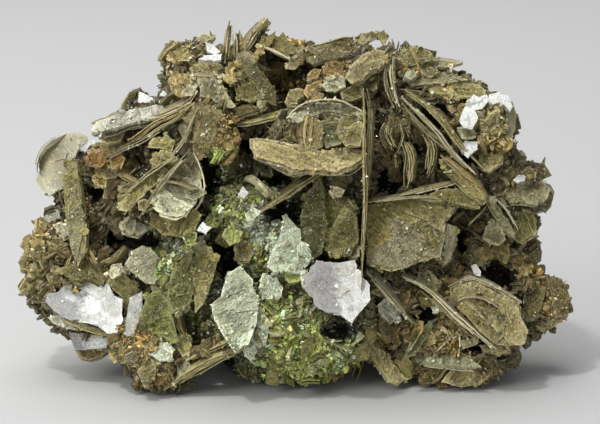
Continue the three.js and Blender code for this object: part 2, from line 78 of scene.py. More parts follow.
# The edge of the whole as seen from the front: across, up
silhouette = [
    (-6.2, 75), (-1, 70.6), (3.2, 69.6), (11.2, 72.6), (19.8, 72), (26, 69.6), (31, 66), (36.4, 61.8),
    (41.6, 58.6), (42.8, 50), (44.6, 47.2), (48.8, 46.8), (50.2, 43), (49, 40.5), (50.4, 37), (50, 33.8),
    (48, 31), (47.4, 28.4), (48.8, 23.8), (54.2, 21.6), (54.2, 15.2), (52.4, 13.2), (45.8, 9), (41, 3.4),
    (37.8, 0.8), (28, -1), (-14, -1), (-26, -0.5), (-33, 0), (-36, 6.4), (-44, 6), (-46, 10), (-51.4, 14),
    (-55.8, 18), (-55.8, 28.6), (-52.8, 33.6), (-51, 37), (-52.8, 44.6), (-52, 47.2), (-45.4, 51.8),
    (-40.2, 53), (-37.4, 55.6), (-35.8, 56.4), (-35, 58.8), (-33.8, 60.4), (-32.6, 60.4), (-30.8, 59.8),
    (-29.2, 58.8), (-28.2, 60.6), (-27.8, 66.6), (-26, 69.6), (-19.4, 71.8), (-14, 74.2), (-11.2, 72),
]

# Lumps under the books: across, depth, up, half sizes
lumps = [
    (-17, 6, 39, 25, 17, 21), (17, 6, 37, 25, 18, 22), (0, 11, 20, 31, 14, 14), (-2, -6, 14, 20, 19, 13),
    (2, 4, 51, 24, 15, 13), (28, -2, 16, 18, 17, 13), (37, 2, 34, 11, 14, 19), (26, 0, 53, 15, 14, 12),
    (4, -11, 49, 10, 10, 8), (-24, 1, 52, 14, 13, 10), (-22, 0, 64, 7, 7, 7), (-42, 2, 38, 7, 9, 12),
    (-41, -2, 20, 11, 11, 11), (-49, -1, 22, 6, 7, 9), (-29, -10, 8.6, 8.5, 10, 10.5),
    (-28, -7, 37, 10, 9, 11), (49, 0, 17.5, 6.5, 8, 8), (43, 0, 21, 7, 9, 8), (37, -2, 52, 7, 8, 9),
    (31, -6, 7, 13, 9, 7), (22, -9, 31, 9, 10, 10), (-3, 9, 61, 21, 11, 9), (13, 0, 63, 9, 11, 6),
    (21, -3, 62, 6, 8, 6), (-49, 0, 27, 7, 8, 8), (-33, 0, 54, 8, 9, 5), (-23, -9, 24, 10, 9, 8),
    (-18, -10, 52, 6, 9, 8), (-10, -3, 62, 5, 9, 4), (19, -5, 49, 5, 9, 6), (38, -7.5, 53, 5.5, 8, 6.5),
    (-11, -12, 36.5, 8, 7, 6), (-5, -13, 27, 9, 7, 8), (-20, -10, 22, 6, 7, 9),
]

# Hollows between the books, pressed into the mass and darkened with painted shade: across, up, half width,
# half height and how deep they go
hollows = [
    (-3.8, 63.2, 4.4, 4.8, 12), (-18.6, 44, 2.6, 4.8, 7), (-24.4, 12.8, 2.4, 2.6, 5),
    (-14.4, 26.4, 3.4, 4, 8), (-17.6, 6, 4.6, 2.8, 6), (-32, 30.4, 4.6, 2, 6), (-40.4, 40.4, 2.6, 3, 5),
    (-38, 31.4, 1.8, 3, 5), (39.4, 22.8, 4.8, 3.4, 10), (7, 12.4, 3.2, 2.4, 6), (28, 55.6, 3, 2.4, 6),
    (-10, 49.4, 2.8, 2.4, 6), (25, 14.4, 2.6, 4, 6), (33, 46, 2.2, 3.4, 5), (-3.8, 36, 3.2, 2.4, 7),
    (32.6, 30, 1.8, 2.8, 6), (-30.4, 52, 3, 1.4, 5), (-21.4, 53.6, 1.6, 2, 5), (-4.4, 42.8, 4, 1.6, 6),
    (34.8, 9.6, 3.2, 1.6, 5), (23, 48.4, 1.6, 4, 5), (17.6, 42.4, 2.4, 3, 6),
]

# Where the scales of the mass are green, and the stains on it: across, up, reach, colour
greenArea = np.array([(-30, 40), (-22, 48), (-12, 46), (-2, 43), (12, 44), (13, 22), (12, 2), (-14, -2),
                      (-24, 6), (-31, 18)], float)
stains = [
    (-40.6, 54.4, 4, "rust"), (0, 58.6, 5, "gold"), (-54, 26.2, 2.5, "tan"), (-41, 47, 4, "gold"),
    (-49, 48, 3, "gold"), (-27, 66, 7, "tan"), (-52, 25, 6, "tan"), (47, 44, 6, "gold"),
    (-22, 58, 5, "tan"), (-15, 33, 3, "lime"), (-10, 37, 6, "lime"), (-11, 27, 6, "lime"),
    (-20, 14, 6, "lime"), (-8, 14, 6, "lime"), (38, 62, 4, "tan"), (49.6, 17.4, 5, "gold"),
    (-29, 6, 6, "tan"), (28, 62, 4, "tan"), (38, 5, 6, "gold"), (24, 30, 5, "gold"), (38, 52, 6, "tan"),
    (38, 54, 3.5, "straw"), (-23, 66, 6, "tan"), (-41, 45, 7, "tan"), (-22, 72, 4, "clay"),
    (-2, 68, 4, "gold"), (-8, 33, 5, "mint"), (-14, 20, 4, "mint"), (-23, 30, 4, "mint"),
    (-19, 26, 5, "lime"), (2, 8, 5, "lime"), (-53, 22, 6, "gold"), (-40, 6, 5, "tan"),
    (-51, 24, 7, "straw"), (-46, 27, 4, "tan"), (-49, 17, 4, "straw"), (-37, 5, 4, "straw"),
]

# Books whose flat face is seen: colour, depth at the middle, how far the face falls back for each
# millimetre across and up, thickness, and the outline's corners (across, up)
plates = [
    ("ash", -11, 0, 2, 1.4, [-41.6, 51.2, -40.8, 53.6, -37.6, 55.4, -34.4, 56.8, -30, 57.6, -26.4, 58.6,
     -24, 58.8, -21.6, 59.8, -21.2, 58.8, -23.2, 56.8, -26, 55.2, -30, 54.2, -34, 53.6, -37.6, 52, -40,
     51.2]),
    ("cream", -12, 0.3, 0.4, 1.6, [-23.8, 58.8, -22.8, 60.8, -21.4, 63.6, -20.4, 63.4, -20.6, 60.8, -21.8,
     59]),
    ("clear", -1, -0.4, 0.2, 2.6, [-52.4, 44, -52.8, 46.4, -51.6, 48.4, -49.6, 50.4, -46.8, 52, -44.4, 52,
     -42.8, 51, -42.4, 50.2, -44, 48.4, -45, 45.4, -45.6, 42.8, -46.8, 40.8, -50, 38.8, -51.6, 40.4, -52.6,
     42.4]),
    ("bark", -9, -0.2, 0, 2.4, [-46.8, 46.8, -44.8, 46.4, -44, 42.4, -43.6, 38.4, -42.4, 33.4, -42.4, 27.4,
     -44, 24.8, -46, 30.4, -47.2, 37.4, -47.6, 42.4]),
    ("gold", -12, 0.1, 0.8, 2, [-42.8, 48.4, -40, 50, -36.8, 49.2, -36.4, 47.2, -39.2, 45.6, -42, 46.4]),
    ("straw", -11, 0, 0.8, 2, [-40.4, 51.6, -37.6, 52.4, -35, 51.8, -35.6, 50, -38.8, 49.2]),
    ("gold", -13, 0.2, 0.3, 2, [-40.8, 44.4, -38, 46, -35.2, 44.8, -36.4, 42.8, -39.2, 42.2]),
    ("gold", -13, 0.3, 0, 3, [-39, 38.8, -38, 43.2, -36.4, 42.8, -37.2, 38.4]),
    ("straw", -15, 0.2, 0.2, 2.4, [-36.6, 38.8, -35.6, 41.2, -33.6, 42.4, -31.6, 41.6, -33.2, 38.8, -35.2,
     37.2]),
    ("khaki", -16, 0.1, 0.4, 1.4, [-30.8, 48.8, -29.6, 50.8, -26.8, 51.4, -24.8, 50.4, -25.6, 48, -28.4,
     48.4]),
    ("straw", -17, 0.1, 0.3, 1.6, [-30, 46.4, -28, 48.6, -25.6, 48, -24.4, 46.4, -26, 44.4, -28.8, 44]),
    ("khaki", -19, 0.2, 0.6, 1.2, [-36.6, 37.8, -34.8, 39.8, -30, 44, -26.4, 46.8, -24.2, 47.4, -24.6, 46,
     -28, 42.2, -32, 38.4, -34.6, 35.8, -36.4, 36.2]),
    ("grey", -20, -0.15, 0.25, 2, [-28.4, 42.8, -25.6, 45.6, -21.6, 47.6, -20.4, 46.6, -20, 43.4, -19.4,
     40.4, -20.4, 37.4, -22.4, 35, -24.6, 34.2, -27.6, 35, -30, 37.2]),
    ("khaki", -19, 0, 0.3, 2, [-30, 36, -27.2, 34.8, -24.4, 34, -20.8, 36.8, -19.4, 35.6, -20.8, 32, -24,
     30.8, -28, 31.6, -30.4, 33.6]),
    ("grey", -15, 0, 0.6, 2, [-36.4, 33.2, -34, 35.8, -31.4, 35.4, -29.6, 32.8, -32, 31, -35.2, 31.6]),
    ("clay", -19, 0.4, 0.1, 1.8, [-20.2, 57.8, -15.6, 56.4, -16.6, 51.6, -18.8, 47.2, -20.8, 45.8, -21.6,
     48.4, -21, 53.4]),
    ("stone", -13, 0.2, 0.5, 1.8, [-20.6, 63, -17.2, 62.8, -15.4, 61.6, -14, 58.8, -12.6, 56.8, -15.2, 56.2,
     -17.8, 58.4, -20, 58.8]),
    ("tan", -12, -0.2, 0.2, 2, [-26.2, 62.8, -24.2, 63.8, -22.2, 63.6, -21.4, 62, -22.6, 59.8, -24.8, 59,
     -26, 60.6]),
    ("clay", -8, 0, 0.9, 2, [-22.2, 64.8, -20.2, 66.2, -17.6, 66.4, -15.6, 65.2, -15.8, 63, -18.6, 63.2,
     -21.6, 63]),
    ("silver", -7, 0, 0.6, 1.4, [-19, 70.1, -17.4, 69.6, -15.7, 67.9, -17.1, 67.2, -18.6, 67.9]),
    ("silver", -10, 0, 1, 1.2, [-20.7, 66.4, -18.5, 67.3, -15.6, 67.6, -15.6, 66.1, -19, 65.9]),
    ("stone", -1, 0, 0.7, 2, [-21.6, 70, -20, 71.6, -18.4, 71.8, -17.2, 70.8, -18.8, 69.6]),
    ("tan", -5, 0, 0.7, 2, [-26.8, 67.2, -24.4, 68.8, -20.8, 69.2, -19.6, 67.6, -22, 66, -25.6, 65.6]),
    ("gold", -4, -0.2, 0.5, 2, [-27.2, 66, -24.8, 66.8, -22.8, 65.6, -24, 63.6, -26.8, 63.2]),
    ("olive", -3, 0.2, 0, 1.2, [-35.8, 56, -35.2, 58.4, -34, 60.2, -32.6, 60.2, -33.2, 58, -34.6, 56]),
    ("silver", -5, 0, 0.6, 1.4, [-32.4, 60.2, -30.8, 59.6, -29.4, 58.8, -28.2, 57.8, -30.4, 57, -32.8,
     57.2]),
    ("silver", -6, 0, 0.4, 1.4, [-28.4, 59, -27.6, 60.4, -26.4, 60, -26.6, 58.8]),
    ("silver", -7, 0, 0.6, 1.4, [-44, 48.4, -42.8, 50, -41.2, 50.6, -40.4, 49.8, -42, 49, -42.8, 47.8]),
    ("clear", 0, -0.3, 0.1, 2, [-52, 33.2, -50.8, 35.6, -48.4, 37, -47.4, 34.2, -48.6, 31.2, -51, 30.6]),
    ("cream", -6, -0.2, 0, 2, [-49.6, 33.6, -48, 34.2, -46.4, 33.2, -46, 30.4, -47.4, 29.6]),
    ("pine", -3, 0.3, 0.2, 1.6, [-12, 67, -10.8, 69.6, -8.8, 72.4, -6.4, 74.8, -5.8, 74, -7.6, 70.8, -9.6,
     68.4, -10.8, 66.6]),
    ("tan", -6, 0.3, 0.2, 1.6, [-10, 66.2, -8.8, 68.4, -7.2, 70.8, -4.6, 72.8, -5.4, 70, -7.4, 68, -9.2,
     66.2]),
    ("bark", -4, 0, 0.3, 2, [-6.4, 68, -5.2, 70.4, -3.4, 72.4, -1.6, 69.8, 0, 67.6, -2, 67, -4.4, 68.4]),
    ("bark", -11.5, 0.3, 0.3, 1.6, [-12, 66.4, -10.6, 67, -8.6, 64.8, -6.4, 61.8, -4.8, 59.2, -4.6, 57.2,
     -6.8, 57.8, -8.6, 60.4, -10.6, 63.6]),
    ("bark", -10.5, 0, 0.5, 2.4, [-13.2, 60.8, -10.6, 62.4, -7.6, 61.6, -7, 58.6, -10, 57.8, -12.4, 58.6]),
    ("tan", -9, 0, 0.8, 2, [-15.6, 62.8, -13.6, 65.6, -11.2, 65.2, -10.8, 62.8, -13.2, 61.6]),
    ("umber", -5, 0, 0.5, 1.6, [1, 68.2, 4, 69.2, 8, 70.4, 10.8, 70, 12.2, 68.6, 10.6, 66.8, 8.8, 64.8, 7.4,
     66.8, 4.4, 67]),
    ("umber", -7, 0, 0.5, 1.6, [-3, 64.4, -1.8, 66.8, 0, 68.4, 2.8, 69.2, 3.8, 68.2, 1, 66.8, -1, 64.2]),
    ("gold", -9.5, 0, 0.2, 2, [4.2, 63.6, 4.8, 65.8, 6.8, 66.8, 9.2, 66, 8.6, 64.4, 9.4, 62.8, 6.8, 62]),
    ("grey", -13.5, 0, 0.5, 2.4, [4, 61.2, 5.6, 62.8, 7.6, 64, 9, 62.8, 9.2, 61, 7.2, 59.8, 5.2, 60.2]),
    ("clay", -12.5, 0, 0.7, 2, [8.8, 62.6, 10, 65.2, 12.4, 67.6, 15.6, 68.8, 18.2, 68.4, 17.8, 66.8, 16.8,
     65.2, 14.4, 64, 11.6, 61.8, 10, 61.4]),
    ("bark", -13, 0, 0.6, 2, [8, 60, 10, 61.2, 12.8, 61.6, 12.8, 59, 10, 57.8, 8.4, 58.2]),
    ("grey", -18.5, 0, 1.3, 1.6, [-2.6, 54.6, -0.8, 56.8, 2, 57.8, 5.2, 58.4, 8.4, 58, 11.2, 56.8, 13, 55.6,
     11.6, 54.6, 9.2, 55.8, 6, 56.4, 2.4, 56.2, 0.2, 55, -0.8, 53.4]),
    ("clay", -21, -0.3, 0.3, 2, [0.2, 48.4, -0.4, 52.2, 0.4, 54.8, 2.2, 55.6, 3.8, 54.4, 5.4, 51.6, 4.6, 49,
     2.4, 47.8]),
    ("pine", -20, 0, 0.3, 1.6, [3.6, 54, 6.8, 55.4, 9.2, 54, 8.4, 49.2, 5.2, 48.4]),
    ("bark", -21.5, -0.2, 0.3, 2, [7.2, 53.6, 8.6, 55.6, 10.8, 56, 12.6, 54.8, 13, 51.6, 12, 49, 9.2, 48.6,
     7.6, 50.8]),
    ("clay", -23, 0, 0.9, 2, [-10.2, 49, -9.8, 50.8, -8.4, 51.2, -4.8, 50.4, -0.4, 49.2, 3.2, 48.4, 8, 48,
     12, 48.8, 13.4, 48, 12.8, 46.2, 10.4, 44.6, 8, 43.6, 4.4, 44, 1.2, 44, -1.6, 43.4, -4, 45, -7.2, 46.2,
     -9.2, 46.8]),
    ("umber", -13, 0, 1.2, 1.4, [-15.8, 56, -13.6, 56.8, -10, 57.6, -7.2, 56.6, -10, 55.8, -13.6, 54.8]),
    ("stone", -14, 0, 0.6, 1.4, [-8.8, 57.6, -7.2, 58.2, -6.2, 57, -8, 56.2]),
    ("clay", -12, 0.2, 0.6, 2, [-3.2, 58.6, -2.2, 60.4, 0, 61, 1.2, 59.4, -0.2, 58.2, -0.6, 57, -2.2,
     57.2]),
    ("gold", -12, 0, 0.5, 2, [0.4, 60, 1, 61.6, 3.2, 62.4, 4.8, 61.8, 4, 60, 4.4, 58.2, 2, 57.6]),
    ("bark", -8, 0, 0.6, 2, [19.2, 66.4, 20.4, 68.8, 23.2, 69.4, 26, 68.2, 27.4, 66.2, 24, 65.6, 21.2,
     64.8]),
    ("stone", -7, 0, 1.4, 1, [23.6, 65.2, 26, 66.4, 29.2, 66.6, 32.8, 65.8, 30, 64.8, 26.8, 64.6, 24.4,
     64.2]),
    ("stone", -9, 0, 1.4, 1.2, [20.4, 62.4, 24, 63.4, 28, 64, 31.2, 63.4, 33.6, 62.6, 30.4, 61.8, 26, 61.4,
     22, 61.2]),
    ("khaki", -8, 0, 0.8, 1.6, [24.8, 60.8, 28, 61.6, 32.4, 61.8, 36, 61.6, 37.4, 60.4, 36.8, 58.8, 33.2,
     58.6, 28.8, 59.2, 26, 59.4]),
    ("grey", -12, 0, 0.4, 2, [20.6, 63, 21.6, 64.4, 22.8, 64.4, 23.4, 63, 22, 62.2]),
    ("bark", -9, 0, 0.4, 2, [24, 66, 25.6, 65.2, 28, 64, 26, 62.4, 24, 63.6]),
    ("grey", -15, 0, 0.5, 1.6, [31.4, 52.8, 32.6, 53, 34.6, 52.4, 35.2, 50.8, 32.4, 50.6]),
    ("clear", -10.5, 0.4, 0.2, 2, [40.8, 57.2, 42.4, 58.2, 43.4, 56, 43.2, 53.2, 42.2, 50, 40.2, 51, 41,
     54.2]),
    ("straw", -11.5, 0.1, 0.6, 2, [35.6, 47.2, 38, 48.4, 41.2, 48.4, 40.6, 45.6, 37.8, 43.8, 35.6, 44.8]),
    ("soil", -5, 0, 0.5, 1.6, [42.4, 45.4, 45.6, 46.4, 49, 45.6, 50.6, 43.2, 48, 42.2, 44.8, 43]),
    ("umber", -9, 0, 0.6, 2, [44, 44, 45.6, 45.2, 47.6, 44.4, 47, 42.8, 44.8, 42.8]),
    ("stone", -9, 0, 1, 1.8, [40, 39.8, 40.8, 41.6, 42.8, 42.8, 45.4, 43, 48.2, 42, 50.2, 40.4, 49.6, 38.4,
     47.2, 37.2, 44, 37.6, 41.6, 37.6]),
    ("silver", -11, 0, 0.8, 1.2, [42.4, 42.2, 43.8, 43.6, 45.4, 43, 45, 42, 43.4, 41.6]),
    ("clear", 0, 0.2, 0.3, 2, [47.6, 41.6, 49.6, 41.2, 50.8, 39.2, 50.2, 37, 49, 35.6, 47.4, 37.2]),
    ("olive", -9, 0.2, 0.1, 2.4, [41.6, 37.4, 46, 36.8, 47.6, 34.4, 47.2, 31, 44.8, 29.6, 42.4, 30.8, 41.2,
     34]),
    ("stone", -14, 0.5, 0.3, 1.2, [37.2, 38.6, 38.4, 38.6, 40.6, 35.8, 43, 31.6, 42.6, 30.4, 41, 32, 39,
     35.4]),
    ("olive", -18.5, 0.2, 0.8, 2, [27.6, 46.8, 29.6, 47, 32, 44.8, 34.8, 42, 37.4, 38.8, 36.8, 37.4, 34,
     39.2, 31, 42, 29, 44.4]),
    ("bark", -21.5, 0.15, 0.1, 2.4, [12.8, 37.2, 17, 38, 21, 38.6, 25, 38.8, 29.4, 38.2, 31.6, 37, 30.4,
     35.2, 29.2, 34, 28.8, 30.4, 28, 26.8, 24.8, 26.2, 20.8, 24.4, 18, 23.8, 15.2, 24.4, 13.2, 25.6]),
    ("bark", -19.5, 0.1, 1, 1.6, [24, 38.6, 27.4, 40.4, 29.6, 40.8, 32.4, 40, 34.8, 38.4, 36.2, 36.8, 32,
     37.2, 28, 37.8]),
    ("olive", -19, 0.6, 0, 1.6, [29.4, 34, 31.2, 33.2, 31.4, 29.4, 30.2, 26, 28.4, 24.4, 28, 26.8, 28.8,
     30.4]),
    ("stone", -14.5, 0.1, 0.4, 1.6, [36.4, 30.8, 37.2, 32.8, 38.6, 34.2, 40.4, 34.6, 41.4, 33.6, 40.6, 32,
     41.2, 30.4, 39.6, 29.2, 37.8, 29.8]),
    ("silver", -15, 0, 0.3, 1.2, [34.2, 25.2, 35.2, 25.6, 36.4, 24, 36.2, 23, 34.8, 23.4]),
    ("khaki", -18, 0, 0.3, 2.4, [23, 22.2, 24, 24.8, 26.4, 24.4, 28.2, 22, 27.2, 19.8, 25, 20.4]),
    ("clay", -16, 0.1, 0.35, 1.8, [29.2, 18.8, 30, 21, 34, 22.6, 37, 21.6, 40.2, 20, 44.2, 17.6, 44.4, 14.4,
     45.6, 12, 44.8, 9.6, 42, 9, 39.2, 9.4, 36, 12.2, 33, 15.2, 30.4, 17.6]),
    ("bark", -17.6, 0.1, 0.35, 1.0, [31, 17.6, 33.4, 18.8, 36.4, 18.6, 39.2, 17, 40.6, 14.4, 41, 11.2, 39,
     9.6, 35.8, 12.2, 33.2, 15]),
    ("umber", -18.2, 0.1, 0.35, 0.5, [32.4, 16.8, 34.8, 17.8, 37.6, 16.6, 38.4, 14, 37.2, 12.4, 34.8, 14]),
    ("bark", -6.5, 0.2, 0, 2.4, [44.6, 16.8, 45.6, 19.2, 47.6, 21.6, 49.4, 20.4, 48.2, 16.4, 46.4, 14]),
    ("umber", -5, 0.2, 0.2, 2.4, [49.2, 23.2, 51.6, 23, 53.6, 21, 54.2, 18.4, 53.2, 15.2, 50.8, 14.4, 50.4,
     18.4]),
    ("clay", -7, 0.2, 0.6, 2, [46.4, 13.6, 49.2, 14.8, 52.4, 14.8, 51.2, 13, 48, 12]),
    ("ash", -17, 0, 0.3, 2, [15.4, 17.2, 17.2, 18.8, 19.4, 17.2, 20, 14.6, 18, 13.8, 16, 15]),
    ("ash", -19, 0, 0.3, 1.4, [26.2, 16.6, 27.4, 17.6, 28.6, 16.6, 27.6, 15.4, 26.4, 15.6]),
    ("straw", -13, 0.3, 0.3, 2, [12.4, 12.4, 14.4, 11.2, 16.8, 8.4, 19.2, 5.2, 21, 2.6, 19.6, 0.8, 17.6,
     1.8, 15.2, 5.2, 13.2, 8.8]),
    ("khaki", -11, 0.2, 0, 2, [18.8, 6.4, 21.2, 7.2, 23.2, 6, 22.4, 2.4, 20.8, 2]),
    ("pine", -17, 0.2, 0.1, 1.6, [20.8, 6.8, 21.6, 9.4, 24, 12.4, 26.2, 14.4, 26.8, 13.2, 24.8, 10, 22.8,
     7]),
    ("grey", -15, 0, 1.2, 1.6, [22.6, 7, 24.8, 8.4, 30, 8.4, 32.6, 7.2, 35, 6, 36, 5, 32, 5, 26, 5.6, 22.8,
     5.8]),
    ("straw", -15.5, 0, 0.3, 2, [36, 9.2, 39.4, 10.2, 42.4, 9.6, 42.6, 8, 39.2, 7.4, 36.4, 8]),
    ("straw", -12, 0, 0.2, 2, [28, 2, 29.6, 4.8, 34, 5.2, 38, 5.6, 38.8, 3.6, 36, 1.4, 32, 0.8]),
    ("pine", -18, 0.2, 0, 2, [0.4, 28.4, 0, 35.4, 1.6, 40.4, 4, 43.2, 5.2, 40.4, 5.6, 33.4, 4.4, 27.4, 2.4,
     26]),
    ("olive", -17, 0, -0.1, 2.4, [5.2, 41.2, 9, 39.2, 11.6, 37.6, 12, 30.4, 10, 27.2, 6, 26.8, 4.4, 30.4]),
    ("cream", -19, 0, 0, 1.6, [5.6, 40.2, 7.2, 41.4, 9, 40.4, 8.2, 38.8, 6.4, 38.8]),
    ("stone", -17, 0, 0.4, 1.6, [8, 28.4, 10, 29.8, 12, 29.2, 12, 27, 9.6, 26.6]),
    ("mint", -21.5, 0.1, 0.3, 2.4, [-7.4, 24.8, -5.6, 28.4, -4.2, 31.6, -3, 35.6, -1.6, 34, 0, 32.4, 0.4,
     30.4, 1.8, 26, 0, 23.6, -3.2, 24.4, -5.2, 23.2]),
    ("mint", -22.5, 0.2, 0.2, 1.2, [-0.2, 30.4, 1.4, 29.6, 2.6, 26.4, 1, 24.8, -0.4, 27.4]),
    ("mint", -23.5, 0, 0.6, 2, [-8.6, 20.8, -7.6, 24, -4.8, 23.2, -3.2, 20.8, -3.8, 18.6, -6.4, 18.4]),
    ("lime", -22.5, 0, 0.4, 2, [-3.6, 24.4, -1.2, 25.2, 0.8, 24.4, 0, 22, -2.8, 21.6]),
    ("mint", -23.5, 0, 0.2, 2, [-8.6, 13.8, -6.8, 15.2, -5.8, 12.4, -7, 9.4, -8.4, 10.6]),
    ("silver", -26.5, 0.1, 0.35, 1.6, [2.2, 18.2, 0.8, 20.2, 0.4, 23, 2.4, 25, 3.2, 26.4, 8, 26, 11.2, 26.4,
     12.8, 23.2, 14.2, 21.6, 14.2, 18.4, 12.4, 16, 10.4, 13.6, 8, 15, 5.2, 15.6, 2.6, 16.8]),
    ("mint", -25.5, 0, 0.6, 1.2, [0, 23.6, 1.2, 24.8, 2.4, 22.4, 1.8, 20.4, 0.4, 21.2]),
    ("bark", -19, 0, 0.6, 1.6, [-13.6, 29.2, -10.8, 30.4, -8.8, 28.4, -10, 26, -12.8, 26]),
    ("lime", -17, 0, 0.3, 1.6, [-19.4, 33.2, -18.6, 35.2, -16.8, 35.6, -16.2, 33.4, -17.6, 32]),
    ("silver", -23, 0, 0.3, 1, [-12.8, 39.6, -11.4, 41.2, -10, 39.8, -11.1, 38.2]),
    ("silver", -23, 0, 0.3, 1, [-20.9, 32.3, -19.5, 34, -17.5, 32.9, -18.7, 31.2]),
    ("moss", -18, 0.2, 0, 2, [-26.8, 18, -26.4, 22, -24.8, 25.6, -22.8, 27.6, -21.6, 24.8, -21.4, 20.4, -22,
     16.8, -24, 15.2, -25.8, 15.8]),
    ("olive", -17, 0, 0.1, 2, [-21.6, 26, -20, 29.2, -17.6, 29.2, -16.4, 26, -17.6, 21.6, -19.2, 17.2,
     -20.8, 16, -21.4, 20.4]),
    ("grey", -16, 0.1, 0.3, 2, [-35.4, 25.6, -33.6, 28.4, -31.6, 29.6, -29.8, 28.8, -28, 26.8, -28, 24.4,
     -29, 21.4, -30.8, 21.8, -32.8, 23.2, -34.4, 24.2]),
    ("silver", -13, -0.15, 0.4, 1.6, [-47.6, 20.8, -46, 21.6, -42.4, 22.2, -40.4, 21.2, -38.4, 21.6, -36.8,
     19.2, -35.2, 18.4, -35.6, 15.6, -34.8, 14.2, -36.4, 12, -38.4, 11.8, -40, 13, -42.4, 13.6, -45.6, 14.2,
     -48, 15.2, -49.6, 16.2, -51.2, 18, -50.8, 19.6, -48.8, 20]),
    ("ash", -12, 0, 0.5, 1.4, [-50.4, 14.8, -48.4, 15.4, -45.6, 14.2, -44.4, 12.6, -46.8, 12.6, -49.2,
     13.4]),
    ("khaki", -12, 0.2, 0.1, 2, [-38.8, 22, -37.6, 24.2, -35.6, 25.2, -34.4, 23.2, -32.6, 21.6, -31.6, 18.8,
     -33.2, 17.2, -34.4, 14.8, -35.6, 18.4, -37.6, 20.4]),
    ("silver", -16.4, 0.3, 0.1, 1.4, [-34.1, 18.9, -31.6, 20.3, -31.6, 15.7, -33, 10.8, -35, 11.1, -34.8,
     14.7]),
    ("cream", -13.6, 0.1, 0.3, 1.6, [-38.8, 23.6, -37.6, 25.6, -35.6, 25.8, -34.6, 24.2, -36, 23.4, -37.6,
     22.4]),
    ("bark", -10, 0, 0.6, 2, [-47.6, 24.4, -45.2, 26, -40.8, 25.6, -38.4, 24, -39.2, 21.2, -41.6, 22.4,
     -45.2, 22]),
    ("silver", -9, 0, -0.2, 1.6, [-46.4, 12.2, -42, 11.8, -38.2, 10.8, -38.4, 8.8, -40.4, 8.4, -45.2, 8.4]),
    ("umber", -9, 0, 0.3, 2, [-45.2, 8.2, -40.4, 8.6, -37.8, 8.4, -39.2, 7, -42, 6.2, -44.6, 6.8]),
    ("moss", -18, 0.2, 0, 2, [-31.8, 12.4, -31.8, 16, -31, 19, -29.4, 20.8, -27.8, 20.2, -26, 18, -25.2,
     14.4, -24, 10, -25, 9.2, -27.2, 10.8, -30, 11.6]),
    ("pine", -19, 0.2, 0.1, 1, [-30.8, 16.8, -28.8, 18, -27.6, 16.8, -28, 14.4, -30, 14]),
    ("mint", -19, 0, 0.4, 1.8, [-30, 7.2, -28.4, 9.6, -26.4, 10, -24.8, 8.4, -25.6, 6.4, -28, 6]),
    ("khaki", -17.5, 0.2, 0, 2, [-24.8, 8.4, -24.4, 11.6, -22.8, 12, -21.4, 9.2, -22, 7.2, -23.6, 7]),
    ("grey", -18, 0.2, 0.2, 1.8, [-24.8, 6, -22.8, 7.2, -21.6, 5.2, -22.4, 2.8, -24.4, 3.2]),
    ("straw", -21, 0, 0.4, 1.8, [-32.8, 4.4, -30.8, 6.4, -28.4, 5.6, -28.8, 2.8, -31.6, 2]),
    ("umber", -17, 0.2, 0.3, 2, [-22, 8, -19, 10.6, -15.6, 12.2, -13.4, 10.6, -14.4, 8.4, -18, 6.6]),
    ("mint", -24, 0.1, 0.15, 2, [-18, 17.2, -16, 18.8, -14.6, 23.8, -12, 25.2, -9.6, 22.2, -7.8, 18.4, -8.4,
     14, -10, 9.4, -12.6, 8, -14.8, 10.4, -17.4, 14.6]),
    ("mint", -23.2, 0.2, 0.1, 1.8, [-12, 9.4, -10, 13.4, -7.6, 17.2, -6.8, 12.4, -7.6, 9, -9.8, 5.8, -11.4,
     6.8]),
    ("silver", -14.6, 0.1, 0.5, 1.2, [31.6, 54, 32.2, 56.4, 33.6, 58.8, 34.8, 59.6, 36, 59.2, 37.6, 59.8,
     38, 58.4, 36.4, 56.6, 35.2, 56.2, 35.6, 54.4, 34.2, 52.4, 32.6, 52.8]),
    ("silver", -14.2, 0.2, 0.6, 1, [37.2, 58.2, 37.8, 59.4, 40, 60, 41.8, 59.2, 43, 56.8, 42, 56, 40.8,
     57.2, 39.4, 57.6, 38.2, 57.2]),
    ("silver", -15.4, 0, 0.5, 1.4, [31.8, 49, 33, 50.4, 35.8, 50.2, 35.6, 48.4, 33.4, 46.6, 32, 47.6]),
    ("umber", -6, 0.2, 0.9, 1.2, [10.4, 70, 12, 71.8, 14.4, 72.4, 16.4, 71.4, 14.4, 70, 12.2, 69]),
    ("khaki", -6.5, 0, 0.3, 1.0, [15.2, 71.8, 16.8, 72.6, 17.8, 70.8, 16.6, 69.2]),
    ("bark", -8.5, 0.1, 0.9, 1.2, [1, 66.4, 3.6, 68, 7.6, 68.8, 10.4, 68, 8.8, 66.8, 5.2, 66.2, 2.4, 65.2]),
    ("gold", -10, 0, 0.5, 1.0, [1.2, 63.4, 2.8, 64.8, 4.4, 64.4, 3.6, 62.6, 1.8, 62.2]),
    ("rust", -14.5, 0.2, 0.5, 1.0, [-43.2, 46.8, -41.6, 48.4, -39.4, 47.8, -38, 46, -39.8, 44.8, -42,
     45.2]),
    ("gold", -15, 0.1, 0.2, 1.0, [-38.6, 46.4, -36.8, 48, -34.6, 46.8, -35.6, 44.4, -37.8, 44.2]),
    ("tan", -14.5, 0.3, 0.2, 1.0, [-41.6, 42.8, -40.2, 44.4, -38.4, 43.2, -38.8, 40.8, -40.8, 40.4]),
    ("lime", -21, 0.1, 0.3, 1.0, [-15.6, 31.2, -13.8, 32.8, -11.4, 32, -12, 29.8, -14.2, 29]),
    ("mint", -21, 0, 0.4, 1.0, [-11.2, 35.6, -9.6, 37.2, -7.6, 36.2, -8.6, 34, -10.6, 33.8]),
    ("lime", -20.5, 0.2, 0.1, 1.0, [-24, 31.2, -22.6, 32.8, -20.6, 31.8, -20.8, 29.2, -22.8, 28.8]),
]

